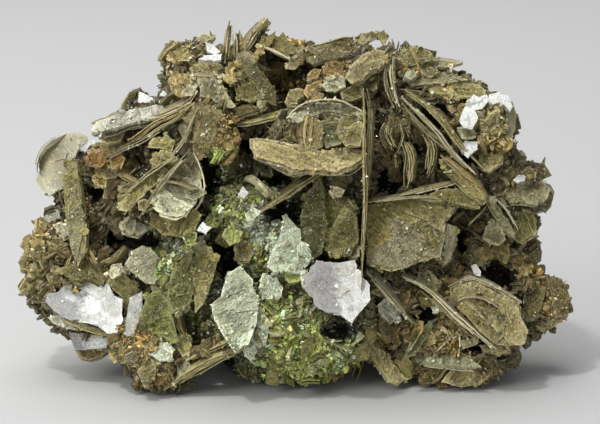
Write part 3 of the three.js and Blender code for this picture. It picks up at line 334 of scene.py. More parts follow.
# Books seen nearly on edge, as bundles of thin strips: colour, depth at the two ends, how far they run
# back, how wide the bundle is, how many strips, turn in degrees about the near edge, and that edge
ribbons = [
    ("cream", -13, -14, 7, 2.4, 6, 12, [-40, 50.8, -36.4, 52.8, -30, 53.8, -25.6, 55.4, -22, 57.6, -20.2,
     60]),
    ("tan", -15, -16, 8, 2.0, 6, 8, [-36.4, 48.4, -32, 50.8, -28.4, 53.2, -24.8, 55, -21.2, 57.6]),
    ("cream", -16, -17, 6, 1.0, 4, 5, [-39.2, 46.4, -35.2, 48.8, -31.6, 50.4, -28, 52.4]),
    ("cream", -21.5, -20, 5, 0.7, 2, 5, [-25.6, 46.8, -22.8, 50.8, -20.2, 56.8]),
    ("cream", -13, -11, 4, 0.5, 2, 10, [-20.8, 63, -18.8, 62.8, -16.4, 62.4]),
    ("grey", -2, -1, 3, 1.2, 4, 0, [-52.6, 44, -52.6, 46.4, -51.2, 48.8, -48.8, 50.6, -46.4, 52]),
    ("tan", -16, -15, 6, 0.8, 4, 20, [-38.8, 45.2, -36, 43.2, -31.6, 41]),
    ("cream", -20, -21, 4, 0.8, 3, 0, [-36.6, 37.6, -34.6, 39.8, -30, 43.8, -24.4, 47.4]),
    ("cream", -22.5, -22, 5, 1.0, 4, 0, [-32, 34.8, -29.2, 39.6, -25.8, 44, -21.8, 48.4]),
    ("cream", -22, -22, 4, 0.7, 2, 20, [-28, 42.2, -24.8, 41.6, -22, 40.6, -20.6, 40.2]),
    ("cream", -20.5, -20, 2, 0.3, 1, 0, [-21.4, 47.8, -20.2, 45.4, -19.2, 40.8, -20.4, 37.2, -22.6, 34.8]),
    ("tan", -5, -4, 6, 1.2, 4, 4.0, [-14.8, 65.8, -14.4, 70, -13.8, 74.4]),
    ("cream", -6, -5, 6, 1.0, 4, -4.0, [-13.2, 65.8, -13, 69.6, -13.4, 73.2]),
    ("khaki", -5, -4, 6, 1.0, 4, 6.0, [-12.2, 65.6, -11.8, 69.2, -12, 72.4]),
    ("khaki", -5, -4, 5, 0.8, 3, 6.0, [-15.8, 66, -15.6, 68, -15.2, 70]),
    ("tan", -7, -5, 5, 1.2, 4, 25, [-11.2, 67.2, -9.2, 70.8, -6.2, 74.8]),
    ("cream", -8, -7, 5, 0.5, 2, 10, [-7, 68.6, -4.8, 67.6, -1.6, 66]),
    ("tan", -8, -6, 4, 0.6, 2, 0, [-11.8, 66.8, -8.8, 65.2, -6.2, 62, -4.4, 58.4]),
    ("khaki", -6, -3, 6, 0.8, 3, -20, [-2.8, 65, -0.8, 67.6, 2.2, 69, 5.4, 69.6, 8.2, 70.6, 10.6, 70.8,
     12.2, 70]),
    ("cream", -13, -12, 6, 2.0, 6, 12, [18.2, 67.8, 17.6, 64.4, 17.8, 61.4, 18.6, 58.4, 20.2, 55.4]),
    ("cream", -19.5, -20, 3, 0.5, 2, 10, [-2.6, 54.6, -0.6, 56.8, 2.2, 58, 5.4, 58.4, 8.6, 58, 13.2, 55.4]),
    ("gold", -22, -21, 3, 0.5, 2, 20, [0.8, 48.2, 0, 51.6, 0.4, 54.6]),
    ("tan", -22.5, -21.5, 3, 0.5, 2, 20, [1.4, 48.2, 1, 51.6, 1.6, 55.2]),
    ("gold", -22.5, -21.5, 3, 0.5, 2, 20, [2.2, 48.2, 2.2, 51.6, 2.8, 55]),
    ("tan", -22, -21, 3, 0.5, 2, 20, [3, 48.4, 3.6, 50.8, 4, 54]),
    ("cream", -24, -24, 7, 1.2, 5, 6, [-9.2, 46.6, -5, 45, -1.6, 43.4, 1.2, 44, 5, 44.2, 9, 43.6, 11.6,
     44.8, 13.6, 47]),
    ("tan", -22.5, -22, 6, 0.8, 4, 10, [0, 47.8, 3.6, 46.4, 7.2, 46.4, 11.2, 47.2]),
    ("khaki", -15, -14, 5, 0.7, 2, 15, [-16, 53.6, -12, 53.2, -8.4, 53.8, -4.6, 54.8, -1.2, 56.2]),
    ("tan", -25, -27, 7, 0.9, 4, 4, [12.6, 60.8, 12.8, 54.4, 12.8, 46.4, 13, 38.4, 12.6, 29.4, 12.2, 20.4]),
    ("straw", -17, -17, 4, 1.8, 6, 16, [20.6, 50, 21.8, 46.8, 21.2, 40.8]),
    ("khaki", -17, -17, 4, 1.9, 6, 16, [24.8, 52, 26.2, 48.4, 25.4, 43.2]),
    ("tan", -10, -9, 5, 0.7, 2, 15, [22.2, 68.4, 23.6, 65.6, 25, 62.4, 27, 58.6]),
    ("cream", -10, -5, 7, 0.6, 2, 5, [20.6, 62.4, 26, 63.2, 30, 63.4, 33.6, 62.6]),
    ("tan", -8, -5, 6, 0.6, 2, 8, [23.6, 65.2, 27.2, 66, 32.8, 65.8]),
    ("tan", -11, -6, 7, 0.8, 4, 5, [24.8, 59.8, 29.2, 58.8, 33.2, 58.6, 37.2, 59.2]),
    ("khaki", -12, -10, 6, 0.7, 2, 0, [20, 60.4, 23.6, 60, 28, 58.8, 31.6, 57.6]),
    ("cream", -19, -17, 7, 1.0, 4, 5, [20.2, 58.8, 22.6, 56.6, 25, 54.2, 27.4, 51.6, 29.4, 48.8, 32, 46,
     35.2, 43.2]),
    ("khaki", -18, -16, 7, 1.4, 5, 10, [21, 60, 24, 58, 27, 55.4, 29.4, 52.8, 31.4, 50.2, 33.8, 47.2, 36.4,
     44.6]),
    ("cream", -18, -17, 6, 0.8, 4, 0, [20.4, 57.6, 23.2, 54.4, 26, 51.6, 28.6, 49.4, 31.2, 47.6]),
    ("tan", -17, -16, 5, 0.9, 4, 15, [26.4, 56.4, 28.8, 53.6, 30.4, 51, 32.4, 48.6]),
    ("gold", -19.5, -19, 6, 1.4, 5, 20, [28, 47, 30.4, 45, 33, 42.6, 35.6, 40, 37.4, 38]),
    ("cream", -23, -19, 6, 0.6, 2, 8, [13, 37.6, 17, 38.2, 21, 38.8, 24.8, 39, 28.4, 38.6, 34.8, 37.6]),
    ("cream", -21, -18, 5, 0.5, 2, 10, [20.4, 39, 25.2, 40.2, 29.2, 41.2, 32.6, 42.2]),
    ("cream", -12, -6, 4, 0.5, 2, 10, [39.2, 39.2, 42.6, 38.4, 46, 37.6, 49.6, 37.2]),
    ("tan", -10, -2, 3, 0.4, 2, 0, [47.2, 42, 49.6, 40.8, 50.6, 38.8, 49.2, 36]),
    ("umber", 0, 1, 3, 0.6, 2, 0, [48.2, 43.2, 48.6, 45.4, 49.2, 47.2]),
    ("tan", -17, -16, 4, 0.5, 2, 0, [37.4, 37.4, 36, 35.6, 33.6, 33.2]),
    ("grey", -15, -14, 4, 0.5, 2, 0, [39.4, 38.4, 41.6, 36, 43.6, 32.4]),
    ("cream", -17, -15, 4, 0.6, 2, 6, [29.8, 20.8, 34, 22.6, 37.2, 21.6, 44.4, 17.6]),
    ("cream", -19, -18, 3, 0.4, 1, 6, [31, 17.8, 33.6, 19, 36.8, 18.6, 39.8, 16.8]),
    ("cream", -21, -20, 8, 1.4, 5, 8, [20.4, 22.8, 24.4, 21.2, 27.6, 18.8, 31, 15.4, 34.8, 12, 39.2, 8.4]),
    ("gold", -20.5, -19.5, 6, 0.8, 4, 0, [24.2, 20.2, 27.4, 17.6, 30.6, 14.6, 35.2, 10.4]),
    ("grey", -23, -19, 7, 1.0, 4, 10, [13.2, 24, 16, 20.8, 19.2, 17.2, 23.2, 13]),
    ("cream", -23, -19, 6, 0.5, 2, 0, [15.2, 21.6, 18, 18.4, 21.2, 14.8]),
    ("khaki", -15, -13, 5, 0.6, 2, 5, [12.8, 12, 14.8, 8.8, 17.2, 4.8, 19.4, 1]),
    ("cream", -17, -17, 4, 0.4, 2, 0, [31.6, 12.4, 29.6, 10.4, 27.4, 8.2]),
    ("cream", -17, -17, 4, 0.4, 1, 0, [31.8, 12.8, 32, 9]),
    ("tan", -16, -16, 4, 0.5, 2, 0, [42, 12.4, 42.4, 8.4]),
    ("silver", -19, -19, 3, 0.5, 1, 0, [23.8, 11.2, 22.8, 9.6, 21.8, 8]),
    ("cream", -17, -14, 6, 0.6, 2, 5, [24, 8.2, 29.2, 8.6, 33.2, 7.2, 35.2, 6.6, 42.4, 7.6]),
    ("tan", -8, -4, 5, 0.9, 4, 10, [48.2, 15, 50.4, 17.8, 52, 20.6, 53.8, 22.4]),
    ("tan", -21, -20, 7, 1.0, 4, 10, [-7.6, 35.8, -3.2, 38.8, 1, 41.6, 5.2, 44.4]),
    ("khaki", -14, -13, 7, 1.4, 5, 12, [-47.6, 14.4, -42, 12.4, -36.4, 11.2, -29.6, 9.4]),
    ("mint", -13.5, -13, 6, 0.8, 4, 8, [-46.8, 15.4, -42.8, 13.2, -38, 11.6, -34.4, 10.8]),
    ("khaki", -19, -18, 5, 1.0, 4, 10, [-30, 20.8, -27.6, 19.6, -25.6, 17, -24.2, 12.8, -22.6, 9.2]),
    ("olive", -18, -17, 5, 0.8, 3, 10, [-27.2, 19.2, -25.6, 14.8, -23.2, 11.2, -21.6, 8]),
    ("khaki", -19, -22, 8, 1.6, 5, 25, [-27.2, 0.2, -23.6, 2.4, -20, 4.4, -15.8, 6.6, -11.4, 8.4]),
    ("khaki", -19, -21, 6, 0.7, 2, 10, [-22.8, 6, -18.8, 7.8, -14.8, 9.6, -12, 11.6]),
    ("tan", -15, -14, 5, 0.9, 4, 10, [-35.2, 29.2, -37.6, 26.8, -40, 26]),
    ("tan", -10, -9, 5, 0.8, 4, 10, [-46, 27.2, -47.2, 24, -49.6, 21.2]),
    ("straw", -17, -16.5, 4, 2.2, 7, 16, [17.6, 54, 16.8, 51.6, 18.4, 48.4]),
    ("cream", -17.4, -17, 3, 0.5, 2, 8, [19.8, 53.6, 20.4, 50.8, 19.2, 48]),
    ("olive", -24.5, -24.5, 6, 1.1, 5, 5, [13.2, 60.8, 14, 56.8, 13.8, 51.4, 13.4, 45.4, 13, 38.4]),
]

# A thin leaf and a small book before they're stretched: corners across and up
leafOutline = [0, 0.2, 0.1, 0, 0.5, 0.01, 0.94, 0.02, 1, 0.24, 0.9, 1, 0.1, 0.9]
bookOutline = [-0.5, -0.1, -0.3, -0.5, 0.3, -0.5, 0.5, 0.1, 0.25, 0.5, -0.35, 0.46]

tilt = math.radians(layout["lookDown"])
cosTilt, sinTilt = math.cos(tilt), math.sin(tilt)
layoutToPart = np.array([
    [1, 0, 0, -layout["centreAcross"]],
    [0, cosTilt, sinTilt, -layout["centreDepth"]],
    [0, -sinTilt, cosTilt, layout["floorDepth"] * sinTilt],
])
partToLayout = np.linalg.inv(np.vstack([layoutToPart, [0, 0, 0, 1]]))


def toPart(points):
    return (points @ layoutToPart[:, :3].T + layoutToPart[:, 3]) * 0.001


def toLayout(points):
    return (points * 1000) @ partToLayout[:3, :3].T + partToLayout[:3, 3]


def heightOf(points):  # metres over the floor
    return toPart(points)[:, 2]


def growAt(depth):  # how much larger a thing is built, to look its size from further away
    return 1 + (depth - layout["measuredDepth"]) / layout["viewDistance"]


def seenAt(across, depth, up):  # moves a point out from the line of sight as its depth asks
    grow = growAt(depth)
    return np.array([across * grow, depth, layout["sightUp"] + (up - layout["sightUp"]) * grow])


def onFrontView(across, depth, up, shrink=1):  # the other way round: where a point is seen
    grow = growAt(depth) * shrink
    return across / grow, (up - layout["sightUp"]) / grow + layout["sightUp"]


def cornersOf(flat):  # across, up, across, up and so on, as rows of two
    return np.array(flat, float).reshape(-1, 2)


def unit(vector):
    return vector / np.linalg.norm(vector)


def between(ends, share):
    return ends[0] + (ends[1] - ends[0]) * share


def anyWay(chance, most=1):
    return np.array([chance.uniform(-most, most) for _ in range(3)])


def meanReach(outline):  # how far the corners lie from their middle
    return float(np.sqrt(((outline - outline.mean(0)) ** 2).sum(1)).mean())


def shade(tint, amount):
    return tuple(c * amount for c in tint)


def mixTint(a, b, share):
    return tuple(x + (y - x) * share for x, y in zip(a, b))


def wipeSelection():
    if bpy.context.object and bpy.context.object.mode != "OBJECT":
        bpy.ops.object.mode_set(mode="OBJECT")
    bpy.ops.object.select_all(action="DESELECT")


def insidePolygon(x, y, polygon):
    inside = np.zeros(np.shape(x), bool)
    count = len(polygon)
    for i in range(count):
        x1, y1 = polygon[i]
        x2, y2 = polygon[(i + 1) % count]
        crosses = (y1 > y) != (y2 > y)
        inside ^= crosses & (x < (x2 - x1) * (y - y1) / (y2 - y1 + 1e-12) + x1)
    return inside


def inSilhouette(points, margin=0.0):
    across, depth, up = points.T
    seen = onFrontView(across, depth, up, 1 - margin / layout["halfWidth"])
    return insidePolygon(*seen, np.array(silhouette))


# Colour of the crust by place, with painted shade in the hollows and behind the books
crust = {
    "greens": ["moss", "olive", "lime", "khaki", "lime", "mint", "grey", "olive"],
    "browns": ["umber", "bark", "olive", "khaki", "clay", "straw", "khaki", "tan", "gold", "clay"],
    "greenCast": (0.92, 1.06, 0.88),
    "brownCast": (1.33, 1.19, 1.0),
    "greenLift": 1.8,
    "paintedHollowShade": 0.15,
    "wander": 2.5,  # how far the edge of the green part wanders, mm
    "stainEnds": (0.3, 1.2),  # where a stain ends, as a share of its reach
    "greenTo": 4,  # depths: green, stains and hollows lie in front of these
    "stainsTo": 3,
    "hollowsTo": 2,
    "recess": {"start": 1.15, "fall": 8, "least": 0.15, "most": 1.1},  # painted shade behind the books: one darker for each fall, mm
}


def inHollow(points, grow=1.0):
    across, depth, up = points.T
    inside = np.zeros(len(points), bool)
    for (a, u, wide, high, _) in hollows:
        within = ((across - a) / (wide * grow)) ** 2 + ((up - u) / (high * grow)) ** 2 < 1
        inside |= (depth < crust["hollowsTo"]) & within
    return inside


def paintedRecessShade(points):  # painted shade: the crust is darker the further it lies behind the books beside it
    across, depth, up = points.T
    place = np.stack(onFrontView(across, depth, up), axis=1)
    cells = ((place - reachGrid["low"]) / reachGrid["cell"]).astype(int)
    cells = np.clip(cells, 0, np.array(reachGrid["size"]) - 1)
    behind = depth - fronts[cells[:, 0], cells[:, 1]]
    recess = crust["recess"]
    shades = np.clip(recess["start"] - behind / recess["fall"], recess["least"], recess["most"])
    return np.where(depth < crust["greenTo"], shades, 1.0)


def pickTints(names, count, picker):
    return np.array([tints[n] for n in names])[picker.integers(0, len(names), count)]


def massTints(points, picker):
    across, depth, up = points.T
    wanderX = across + crust["wander"] * np.sin(up * 0.55 + depth)
    wanderY = up + crust["wander"] * np.sin(across * 0.5 + 1)
    green = (depth < crust["greenTo"]) & insidePolygon(wanderX, wanderY, greenArea)
    greens = pickTints(crust["greens"], len(points), picker)
    browns = pickTints(crust["browns"], len(points), picker)
    found = np.where(green[:, None], greens * crust["greenCast"], browns * crust["brownCast"])
    for (a, u, reach, name) in stains:
        ends = reach * picker.uniform(*crust["stainEnds"], len(points))
        near = (depth < crust["stainsTo"]) & (np.hypot(across - a, up - u) < ends)
        found[near] = tints[name]
    found[green] *= crust["greenLift"]
    # Painted shade: the crust is darkened inside the hollows.
    found[inHollow(points)] *= crust["paintedHollowShade"]
    return found * paintedRecessShade(points)[:, None]


# Thin sheets, gathered by piece
class Pile:  # the sheets of one piece, joined into one mesh at the end
    def __init__(self):
        self.points, self.faces, self.tint, self.rim, self.flat = [], [], [], [], []
        self.count = 0

    def add(self, points, faces, tints, rim):
        self.points.append(points)
        self.faces.extend([tuple(i + self.count for i in face) for face in faces])
        self.tint.append(tints)
        self.rim.append(rim)
        self.count += len(points)

    def addSheet(self, points, faces, tint, rim, flat):  # flat is where the pattern is read
        self.add(toPart(points), faces, np.tile(np.array(tint), (len(points), 1)), rim)
        self.flat.append(flat)


piles = {}


def pileNamed(name):
    return piles.setdefault(name, Pile())


def pileFor(tintName, across, up):
    if tintName in ("clear", "silver"):
        return pileNamed(tintName + "Books")
    side = "west" if across < -12 else ("east" if across > 14 else "middle")
    level = "High" if up > 40 else "Low"
    return pileNamed(side + level + "Books")


def smallPileFor(place, behind):
    if behind:
        return pileNamed("smallBooksBack")
    return pileNamed("smallBooksWest" if place[0] < 0 else "smallBooksEast")


raggedStyle = {
    "stretch": (0.93, 1.05),  # how far a corner moves in or out
    "run": (1, 6),  # steps that a bite lasts
    "deepOdds": 0.15,
    "deep": 2.6,
    "uneven": 0.25,
    "deepest": 0.45,  # share of the way to the middle
}


def raggedEdge(outline, step, bite, chance):
    # Walks round the outline in short steps, biting in by uneven stepped amounts.
    style = raggedStyle
    centre = outline.mean(0)
    outline = centre + (outline - centre) * np.array([[chance.uniform(*style["stretch"])] for _ in outline])
    points = []
    depthNow = chance.random() * bite
    run = 0
    for i in range(len(outline)):
        a, b = outline[i], outline[(i + 1) % len(outline)]
        pieces = max(1, int(round(np.linalg.norm(b - a) / step)))
        for k in range(pieces):
            p = a + (b - a) * (k + (0.5 * (chance.random() - 0.5) if k else 0)) / pieces
            if run <= 0:
                depthNow = bite * chance.random() ** 2
                depthNow *= style["deep"] if chance.random() < style["deepOdds"] else 1
                run = chance.randint(*style["run"])
            run -= 1
            inward = centre - p
            reach = np.linalg.norm(inward)
            bitten = depthNow + chance.random() * style["uneven"] * bite
            points.append(p + inward / max(reach, 1e-6) * min(bitten, style["deepest"] * reach))
    return np.array(points)


def clipOutline(outline, point, normal):
    kept = []
    for i in range(len(outline)):
        a, b = outline[i], outline[(i + 1) % len(outline)]
        da, db = (a - point) @ normal, (b - point) @ normal
        if da <= 0:
            kept.append(a)
        if (da < 0) != (db < 0) and abs(da - db) > 1e-9:
            kept.append(a + (b - a) * da / (da - db))
    return np.array(kept)


sheetStyle = {
    "rimWidth": 0.24,  # mm
    "rims": (0.3, 0.7, 1.0, 1.0),  # how pale the rim may be, on top and underneath
    "lowRims": (0.3, 0.7, 1.0),
    "fullRim": 1.6,  # a sheet that reaches less far than this has a fainter rim, mm
    "softRim": 0.65,
    "plainRim": 0.1,
    "drawn": (0.5, 1.7),  # the pattern along and across the grain
    "levelScale": 5,  # how far the pattern moves on for each mm of height
    "patternShift": (0, 60),
}


def bentLevel(bend, height, places):  # how high each place of a bent sheet lies over its plane
    curlX, curlY, waveX, waveY, wave, phase, slope, anchor = bend
    x, y = places[:, 0], places[:, 1]
    return (height + slope * (x - anchor) + curlX * x * x + curlY * y * y
            + wave * np.sin(waveX * x + waveY * y + phase)
            + 0.5 * wave * np.sin(1.9 * waveY * x - 2.3 * waveX * y))


def stood(frameAt, plane, level):  # frameAt is (origin, across, rise, outward)
    origin, across, rise, outward = frameAt
    return origin + plane[:, :1] * across + plane[:, 1:] * rise + level[:, None] * outward


def addPlainSheet(pile, frameAt, outline, height, thick, tint, chance, bend):  # one face above, one below
    count = len(outline)
    plane = np.concatenate([outline, outline])
    level = bentLevel(bend, height, plane) + np.repeat([thick / 2, -thick / 2], count)
    faces = [tuple(range(count)), tuple(range(2 * count - 1, count - 1, -1))]
    faces += [((i + 1) % count, i, count + i, count + (i + 1) % count) for i in range(count)]
    rim = np.full(2 * count, sheetStyle["plainRim"])
    flat = np.column_stack([plane, level * sheetStyle["levelScale"]])
    flat = flat + chance.uniform(*sheetStyle["patternShift"])
    pile.addSheet(stood(frameAt, plane, level), faces, tint, rim, flat)


def addRimmedSheet(pile, frameAt, outline, height, thick, tint, chance, bend, rings, grain):
    # rings are the loops inside the rim, as shares of the outline.
    style = sheetStyle
    centre = outline.mean(0)
    count = len(outline)
    radius = max(0.4, meanReach(outline))
    factors = [1.0, max(0.5, 1 - style["rimWidth"] / radius)] + rings
    face = np.concatenate([centre + (outline - centre) * f for f in factors] + [centre[None]])
    plane = np.concatenate([face, face[:count], centre[None]])
    level = np.concatenate([bentLevel(bend, height, face) + thick / 2,
                            bentLevel(bend, height, face[:count]) - thick / 2,
                            bentLevel(bend, height, centre[None]) - thick / 2])
    last, middle = (len(factors) - 1) * count, len(factors) * count
    base = middle + 1
    lowMiddle = base + count
    faces = [(a + i, a + (i + 1) % count, a + count + (i + 1) % count, a + count + i)
             for a in range(0, last, count) for i in range(count)]
    for i in range(count):
        j = (i + 1) % count
        faces += [(last + i, last + j, middle), (j, i, base + i, base + j), (base + j, base + i, lowMiddle)]
    rim = np.zeros(len(plane))
    bright = chance.choice(style["rims"]) * min(1.0, radius / style["fullRim"])
    rim[:count] = bright
    soft = np.array([chance.random() for _ in range(count)])
    rim[count:2 * count] = bright * style["softRim"] * (soft + np.roll(soft, 1) + np.roll(soft, 2)) / 2.2
    rim[base:base + count] = chance.choice(style["lowRims"])
    turned = plane @ np.array([[math.cos(grain), -math.sin(grain)], [math.sin(grain), math.cos(grain)]])
    flat = np.column_stack([turned * style["drawn"], level * style["levelScale"]])
    flat = flat + chance.uniform(*style["patternShift"])
    pile.addSheet(stood(frameAt, plane, level), faces, tint, rim, flat)


bookStyle = {
    "gap": 0.30,  # usual distance from one sheet of a book to the next, mm
    "mostSheets": 9,
    "mostPlain": 3,
    "step": 0.8,  # length of one step of a ragged edge
    "bite": 0.35,
    "splay": 0.04,
    "wave": 0.03,  # share of the book's reach
    "spring": (0.4, 2.2),  # how far a book seen on edge opens towards one end, mm
    "spaces": (0.5, 0.6, 0.7, 1.0, 1.9),
    "thins": (0.96, 0.96, 0.9, 0.8, 0.45),  # a sheet's thickness as a share of its space
    "fit": (0.93, 1.01),
    "shift": (-0.25, 0.25),  # mm
    "taper": 0.2,
    "topTone": (0.85, 1.05),
    "lowTone": (0.5, 1.15),
    "lowMixes": ("umber", "olive", "tan", "cream"),
}
terraceStyle = {
    "rise": 0.14,
    "apart": 0.11,
    "thick": 0.1,
    "along": (-0.5, 0.6),  # where the edge of a terrace runs over the face
    "flakeCorners": (4, 6),
    "flakeReach": (0.2, 0.5),
    "flakePlace": (0, 0.75),
    "tone": (0.55, 1.5),
    "mixes": ("grey", "olive", "tan", "umber"),
}


def leftTurn(outline):  # above 0 when the corners run anticlockwise
    x, y = outline.T
    return float(x @ np.roll(y, -1) - y @ np.roll(x, -1))


def addBook(pile, frameAt, outline, thick, tint, chance, terraces=0, curl=0.004, splay=bookStyle["splay"],
            step=bookStyle["step"], strands=0.0, plain=False):
    # strands is how unevenly the sheets end along their length, as in a book seen on edge; plain books are
    # small ones with few corners.
    style = bookStyle
    origin, across, rise, outward = frameAt
    sheets = max(2, min(style["mostPlain" if plain else "mostSheets"], int(round(thick / style["gap"]))))
    size = meanReach(outline)
    curlX, curlY = chance.uniform(-curl, curl), chance.uniform(-curl, curl)
    phase = chance.random() * 6
    waveX, waveY = chance.uniform(-1, 1) * 3 / size, chance.uniform(-1, 1) * 3 / size
    waves = (waveX, waveY, style["wave"] * size, phase)
    fanX, fanY = chance.uniform(-1, 1) * splay, chance.uniform(-1, 1) * splay
    if np.cross(across, rise) @ outward < 0:
        outline = outline[::-1]
    grain = 0 if strands else chance.random() * math.pi
    length = np.ptp(outline[:, 0])
    spring = chance.uniform(*style["spring"]) / length if strands else 0
    anchor = length / 2 * chance.choice((-1, 1))
    spaces = [0] + [chance.choice(style["spaces"]) for _ in range(sheets - 1)]
    levels = np.cumsum(spaces) / max(sum(spaces), 1e-6)
    for i in range(sheets):
        share = levels[i]
        space = thick * (levels[min(i + 1, sheets - 1)] - share) or thick / sheets
        bend = (curlX * chance.uniform(0.8, 1.2), curlY * chance.uniform(0.6, 1.4), *waves,
                -spring * (share - 0.5) * chance.uniform(0.7, 1.2), anchor)
        turned = unit(outward + (fanX * (share - 0.5) + chance.uniform(-0.4, 0.4) * splay) * across
                      + (fanY * (share - 0.5) + chance.uniform(-0.4, 0.4) * splay) * rise)
        newFrame = (origin, across - (across @ turned) * turned, rise - (rise @ turned) * turned, turned)
        stretch = np.array([chance.uniform(*style["fit"]) - strands * chance.random() ** 2,
                            chance.uniform(*style["fit"])])
        stretch = stretch * (1 - (0 if strands else style["taper"]) * share)
        shiftX = chance.uniform(*style["shift"]) + strands * size * chance.uniform(-0.5, 0.5)
        shift = np.array([shiftX, chance.uniform(*style["shift"])])
        shape = outline * stretch + shift if i or strands else outline
        shape = raggedEdge(shape, step * (1 if i == 0 else 1.2), style["bite"], chance)
        tone = shade(tint, chance.uniform(*style["lowTone" if i else "topTone"]))
        if i:
            tone = mixTint(tone, tints[chance.choice(style["lowMixes"])], chance.random() ** 2 * 0.6)
        if strands:  # bright lines among darker ones
            bright = chance.random() < 0.3
            tone = mixTint(tint, tints["cream"], 0.5) if bright else mixTint(tone, tints["olive"], 0.6)
        thin = space * chance.choice(style["thins"])
        sheet = (pile, newFrame, shape, -thick * share, thin, tone, chance, bend)
        if plain:
            addPlainSheet(*sheet)
        else:
            addRimmedSheet(*sheet, [0.66, 0.33] if i == 0 else [], grain)
    # Partly cleaved sheets lie on the face, so that it steps down towards one side.
    style = terraceStyle
    for i in range(terraces):
        angle = chance.random() * 2 * math.pi
        normal = np.array([math.cos(angle), math.sin(angle)])
        point = outline.mean(0) + normal * size * chance.uniform(*style["along"])
        shape = clipOutline(outline * 0.985, point, normal)
        torn = i % 3 == 2
        if torn:  # a small torn flake anywhere on the face
            corners = chance.randint(*style["flakeCorners"])
            reach = size * chance.uniform(*style["flakeReach"])
            middle = outline.mean(0) + normal * size * chance.uniform(*style["flakePlace"])
            turns = [(k + chance.uniform(-0.3, 0.3)) * 2 * math.pi / corners + angle for k in range(corners)]
            turns.sort(reverse=bool(leftTurn(outline) < 0))
            shape = np.array([middle + reach * np.array([math.cos(a), 0.7 * math.sin(a)]) for a in turns])
        if len(shape) < 3:
            continue
        shape = raggedEdge(shape, step * 0.9, bookStyle["bite"] * (0.8 if torn else 1.8), chance)
        tone = shade(tint, chance.uniform(*style["tone"]))
        tone = mixTint(tone, tints[chance.choice(style["mixes"])], chance.random() * 0.4)
        addRimmedSheet(pile, frameAt, shape, style["rise"] + style["apart"] * i, style["thick"], tone, chance,
                       (curlX, curlY, *waves, 0, 0), [0.6], grain + chance.uniform(-0.3, 0.3))


def smoothed(corners, count):  # evenly spaced places on a smooth line through the corners
    corners = np.concatenate([[2 * corners[0] - corners[1]], corners, [2 * corners[-1] - corners[-2]]])
    found = []
    for i in range(1, len(corners) - 2):
        a, b, c, d = corners[i - 1:i + 3]
        for t in np.linspace(0, 1, 12, endpoint=False):
            found.append(0.5 * (2 * b + (c - a) * t + (2 * a - 5 * b + 4 * c - d) * t ** 2
                                + (3 * b - a - 3 * c + d) * t ** 3))
    found = np.array(found + [corners[-2]])
    walked = np.concatenate([[0], np.cumsum(np.linalg.norm(np.diff(found, axis=0), axis=1))])
    steps = np.linspace(0, walked[-1], count)
    return np.stack([np.interp(steps, walked, found[:, k]) for k in range(found.shape[1])], axis=1)


ribbonStyle = {
    "spacing": 1.3,  # from one station of a strip to the next, mm
    "short": 0.25,  # how far short of an end a strip may stop, as a share
    "twist": 0.12,
    "gather": (0.5, 0.8),  # how far the strips spread, and how much more half way
    "spread": 0.4,
    "weave": 0.06,
    "thick": (0.14, 0.42),
    "thinnest": 0.06,  # mm
    "reach": (0.6, 1.0),
    "setBack": (0, 0.5),
    "jags": (0, 0, 0.1, 0.25, 0.5),
    "bright": 1.1,
    "darkOdds": 0.5,
    "darkMix": (0.6, 1.0),
    "darkMixes": ("umber", "olive", "umber"),
    "tone": (0.7, 1.1),
    "rim": 0.8,
}


def addRibbon(pile, near, runBack, width, strips, turn, tint, chance):
    # near is the near edge in layout places; the strips draw together and thin out towards both ends.
    style = ribbonStyle
    length = np.linalg.norm(near[-1] - near[0])
    for k in range(strips):
        first, last = chance.uniform(0, style["short"]), 1 - chance.uniform(0, style["short"])
        if k == strips // 2:
            first, last = 0, 1
        stations = max(6, int(length / style["spacing"]))
        share = np.linspace(first, last, stations)
        whole = np.linspace(0, 1, len(near))
        middle = np.stack([np.interp(share, whole, near[:, i]) for i in range(3)], axis=1)
        along = np.gradient(middle, axis=0)
        along /= np.linalg.norm(along, axis=1)[:, None]
        back = np.array([0, 1.0, 0]) - along * along[:, 1:2]
        back /= np.linalg.norm(back, axis=1)[:, None]
        tip = math.radians(turn) + chance.uniform(-style["twist"], style["twist"])
        back = back * math.cos(tip) + np.cross(along, back) * math.sin(tip)
        outward = np.cross(along, back)
        swell = np.sin(math.pi * np.clip(share, 0.0, 1.0)) ** 0.7
        spread = chance.uniform(*style["gather"]) + style["spread"] * swell
        offset = ((k + 0.5) / strips - 0.5) * width * spread
        offset = offset + style["weave"] * width * np.sin(share * chance.uniform(4, 11) + k)
        half = width / strips * chance.uniform(*style["thick"]) * (0.7 + 0.3 * swell)
        half = np.maximum(half, style["thinnest"])[:, None]
        reach = (runBack * chance.uniform(*style["reach"]) * (0.45 + 0.55 * swell))[:, None]
        middle = middle + outward * offset[:, None] + back * chance.uniform(*style["setBack"])
        jag = np.array([chance.choice(style["jags"]) for _ in range(stations)])[:, None]
        ring = [middle + outward * half + back * jag, middle - outward * half + back * jag,
                middle + back * reach - outward * half * 0.8, middle + back * reach + outward * half * 0.8]
        points = np.stack(ring, axis=1).reshape(-1, 3)
        faces = [(0, 1, 2, 3), tuple(4 * (stations - 1) + i for i in (3, 2, 1, 0))]
        for s in range(0, 4 * stations - 4, 4):
            faces += [(s + (i + 1) % 4, s + i, s + 4 + i, s + 4 + (i + 1) % 4) for i in range(4)]
        flat = np.zeros((len(points), 3))
        flat[:, 0] = np.repeat(share * length * 0.35, 4)
        flat[:, 1] = np.tile([0, 0, 2, 2], stations) * reach.mean()
        flat[:, 2] = k * 7 + np.tile([0, 1, 1, 0], stations)
        tone = shade(tint, style["bright"])
        if chance.random() < style["darkOdds"]:  # darker strips between the bright ones
            tone = mixTint(tint, tints[chance.choice(style["darkMixes"])], chance.uniform(*style["darkMix"]))
        tone = shade(tone, chance.uniform(*style["tone"]))
        rim = np.tile([style["rim"], style["rim"], 0.0, 0.0], stations)
        pile.addSheet(points, faces, tone, rim, flat + chance.uniform(*sheetStyle["patternShift"]))
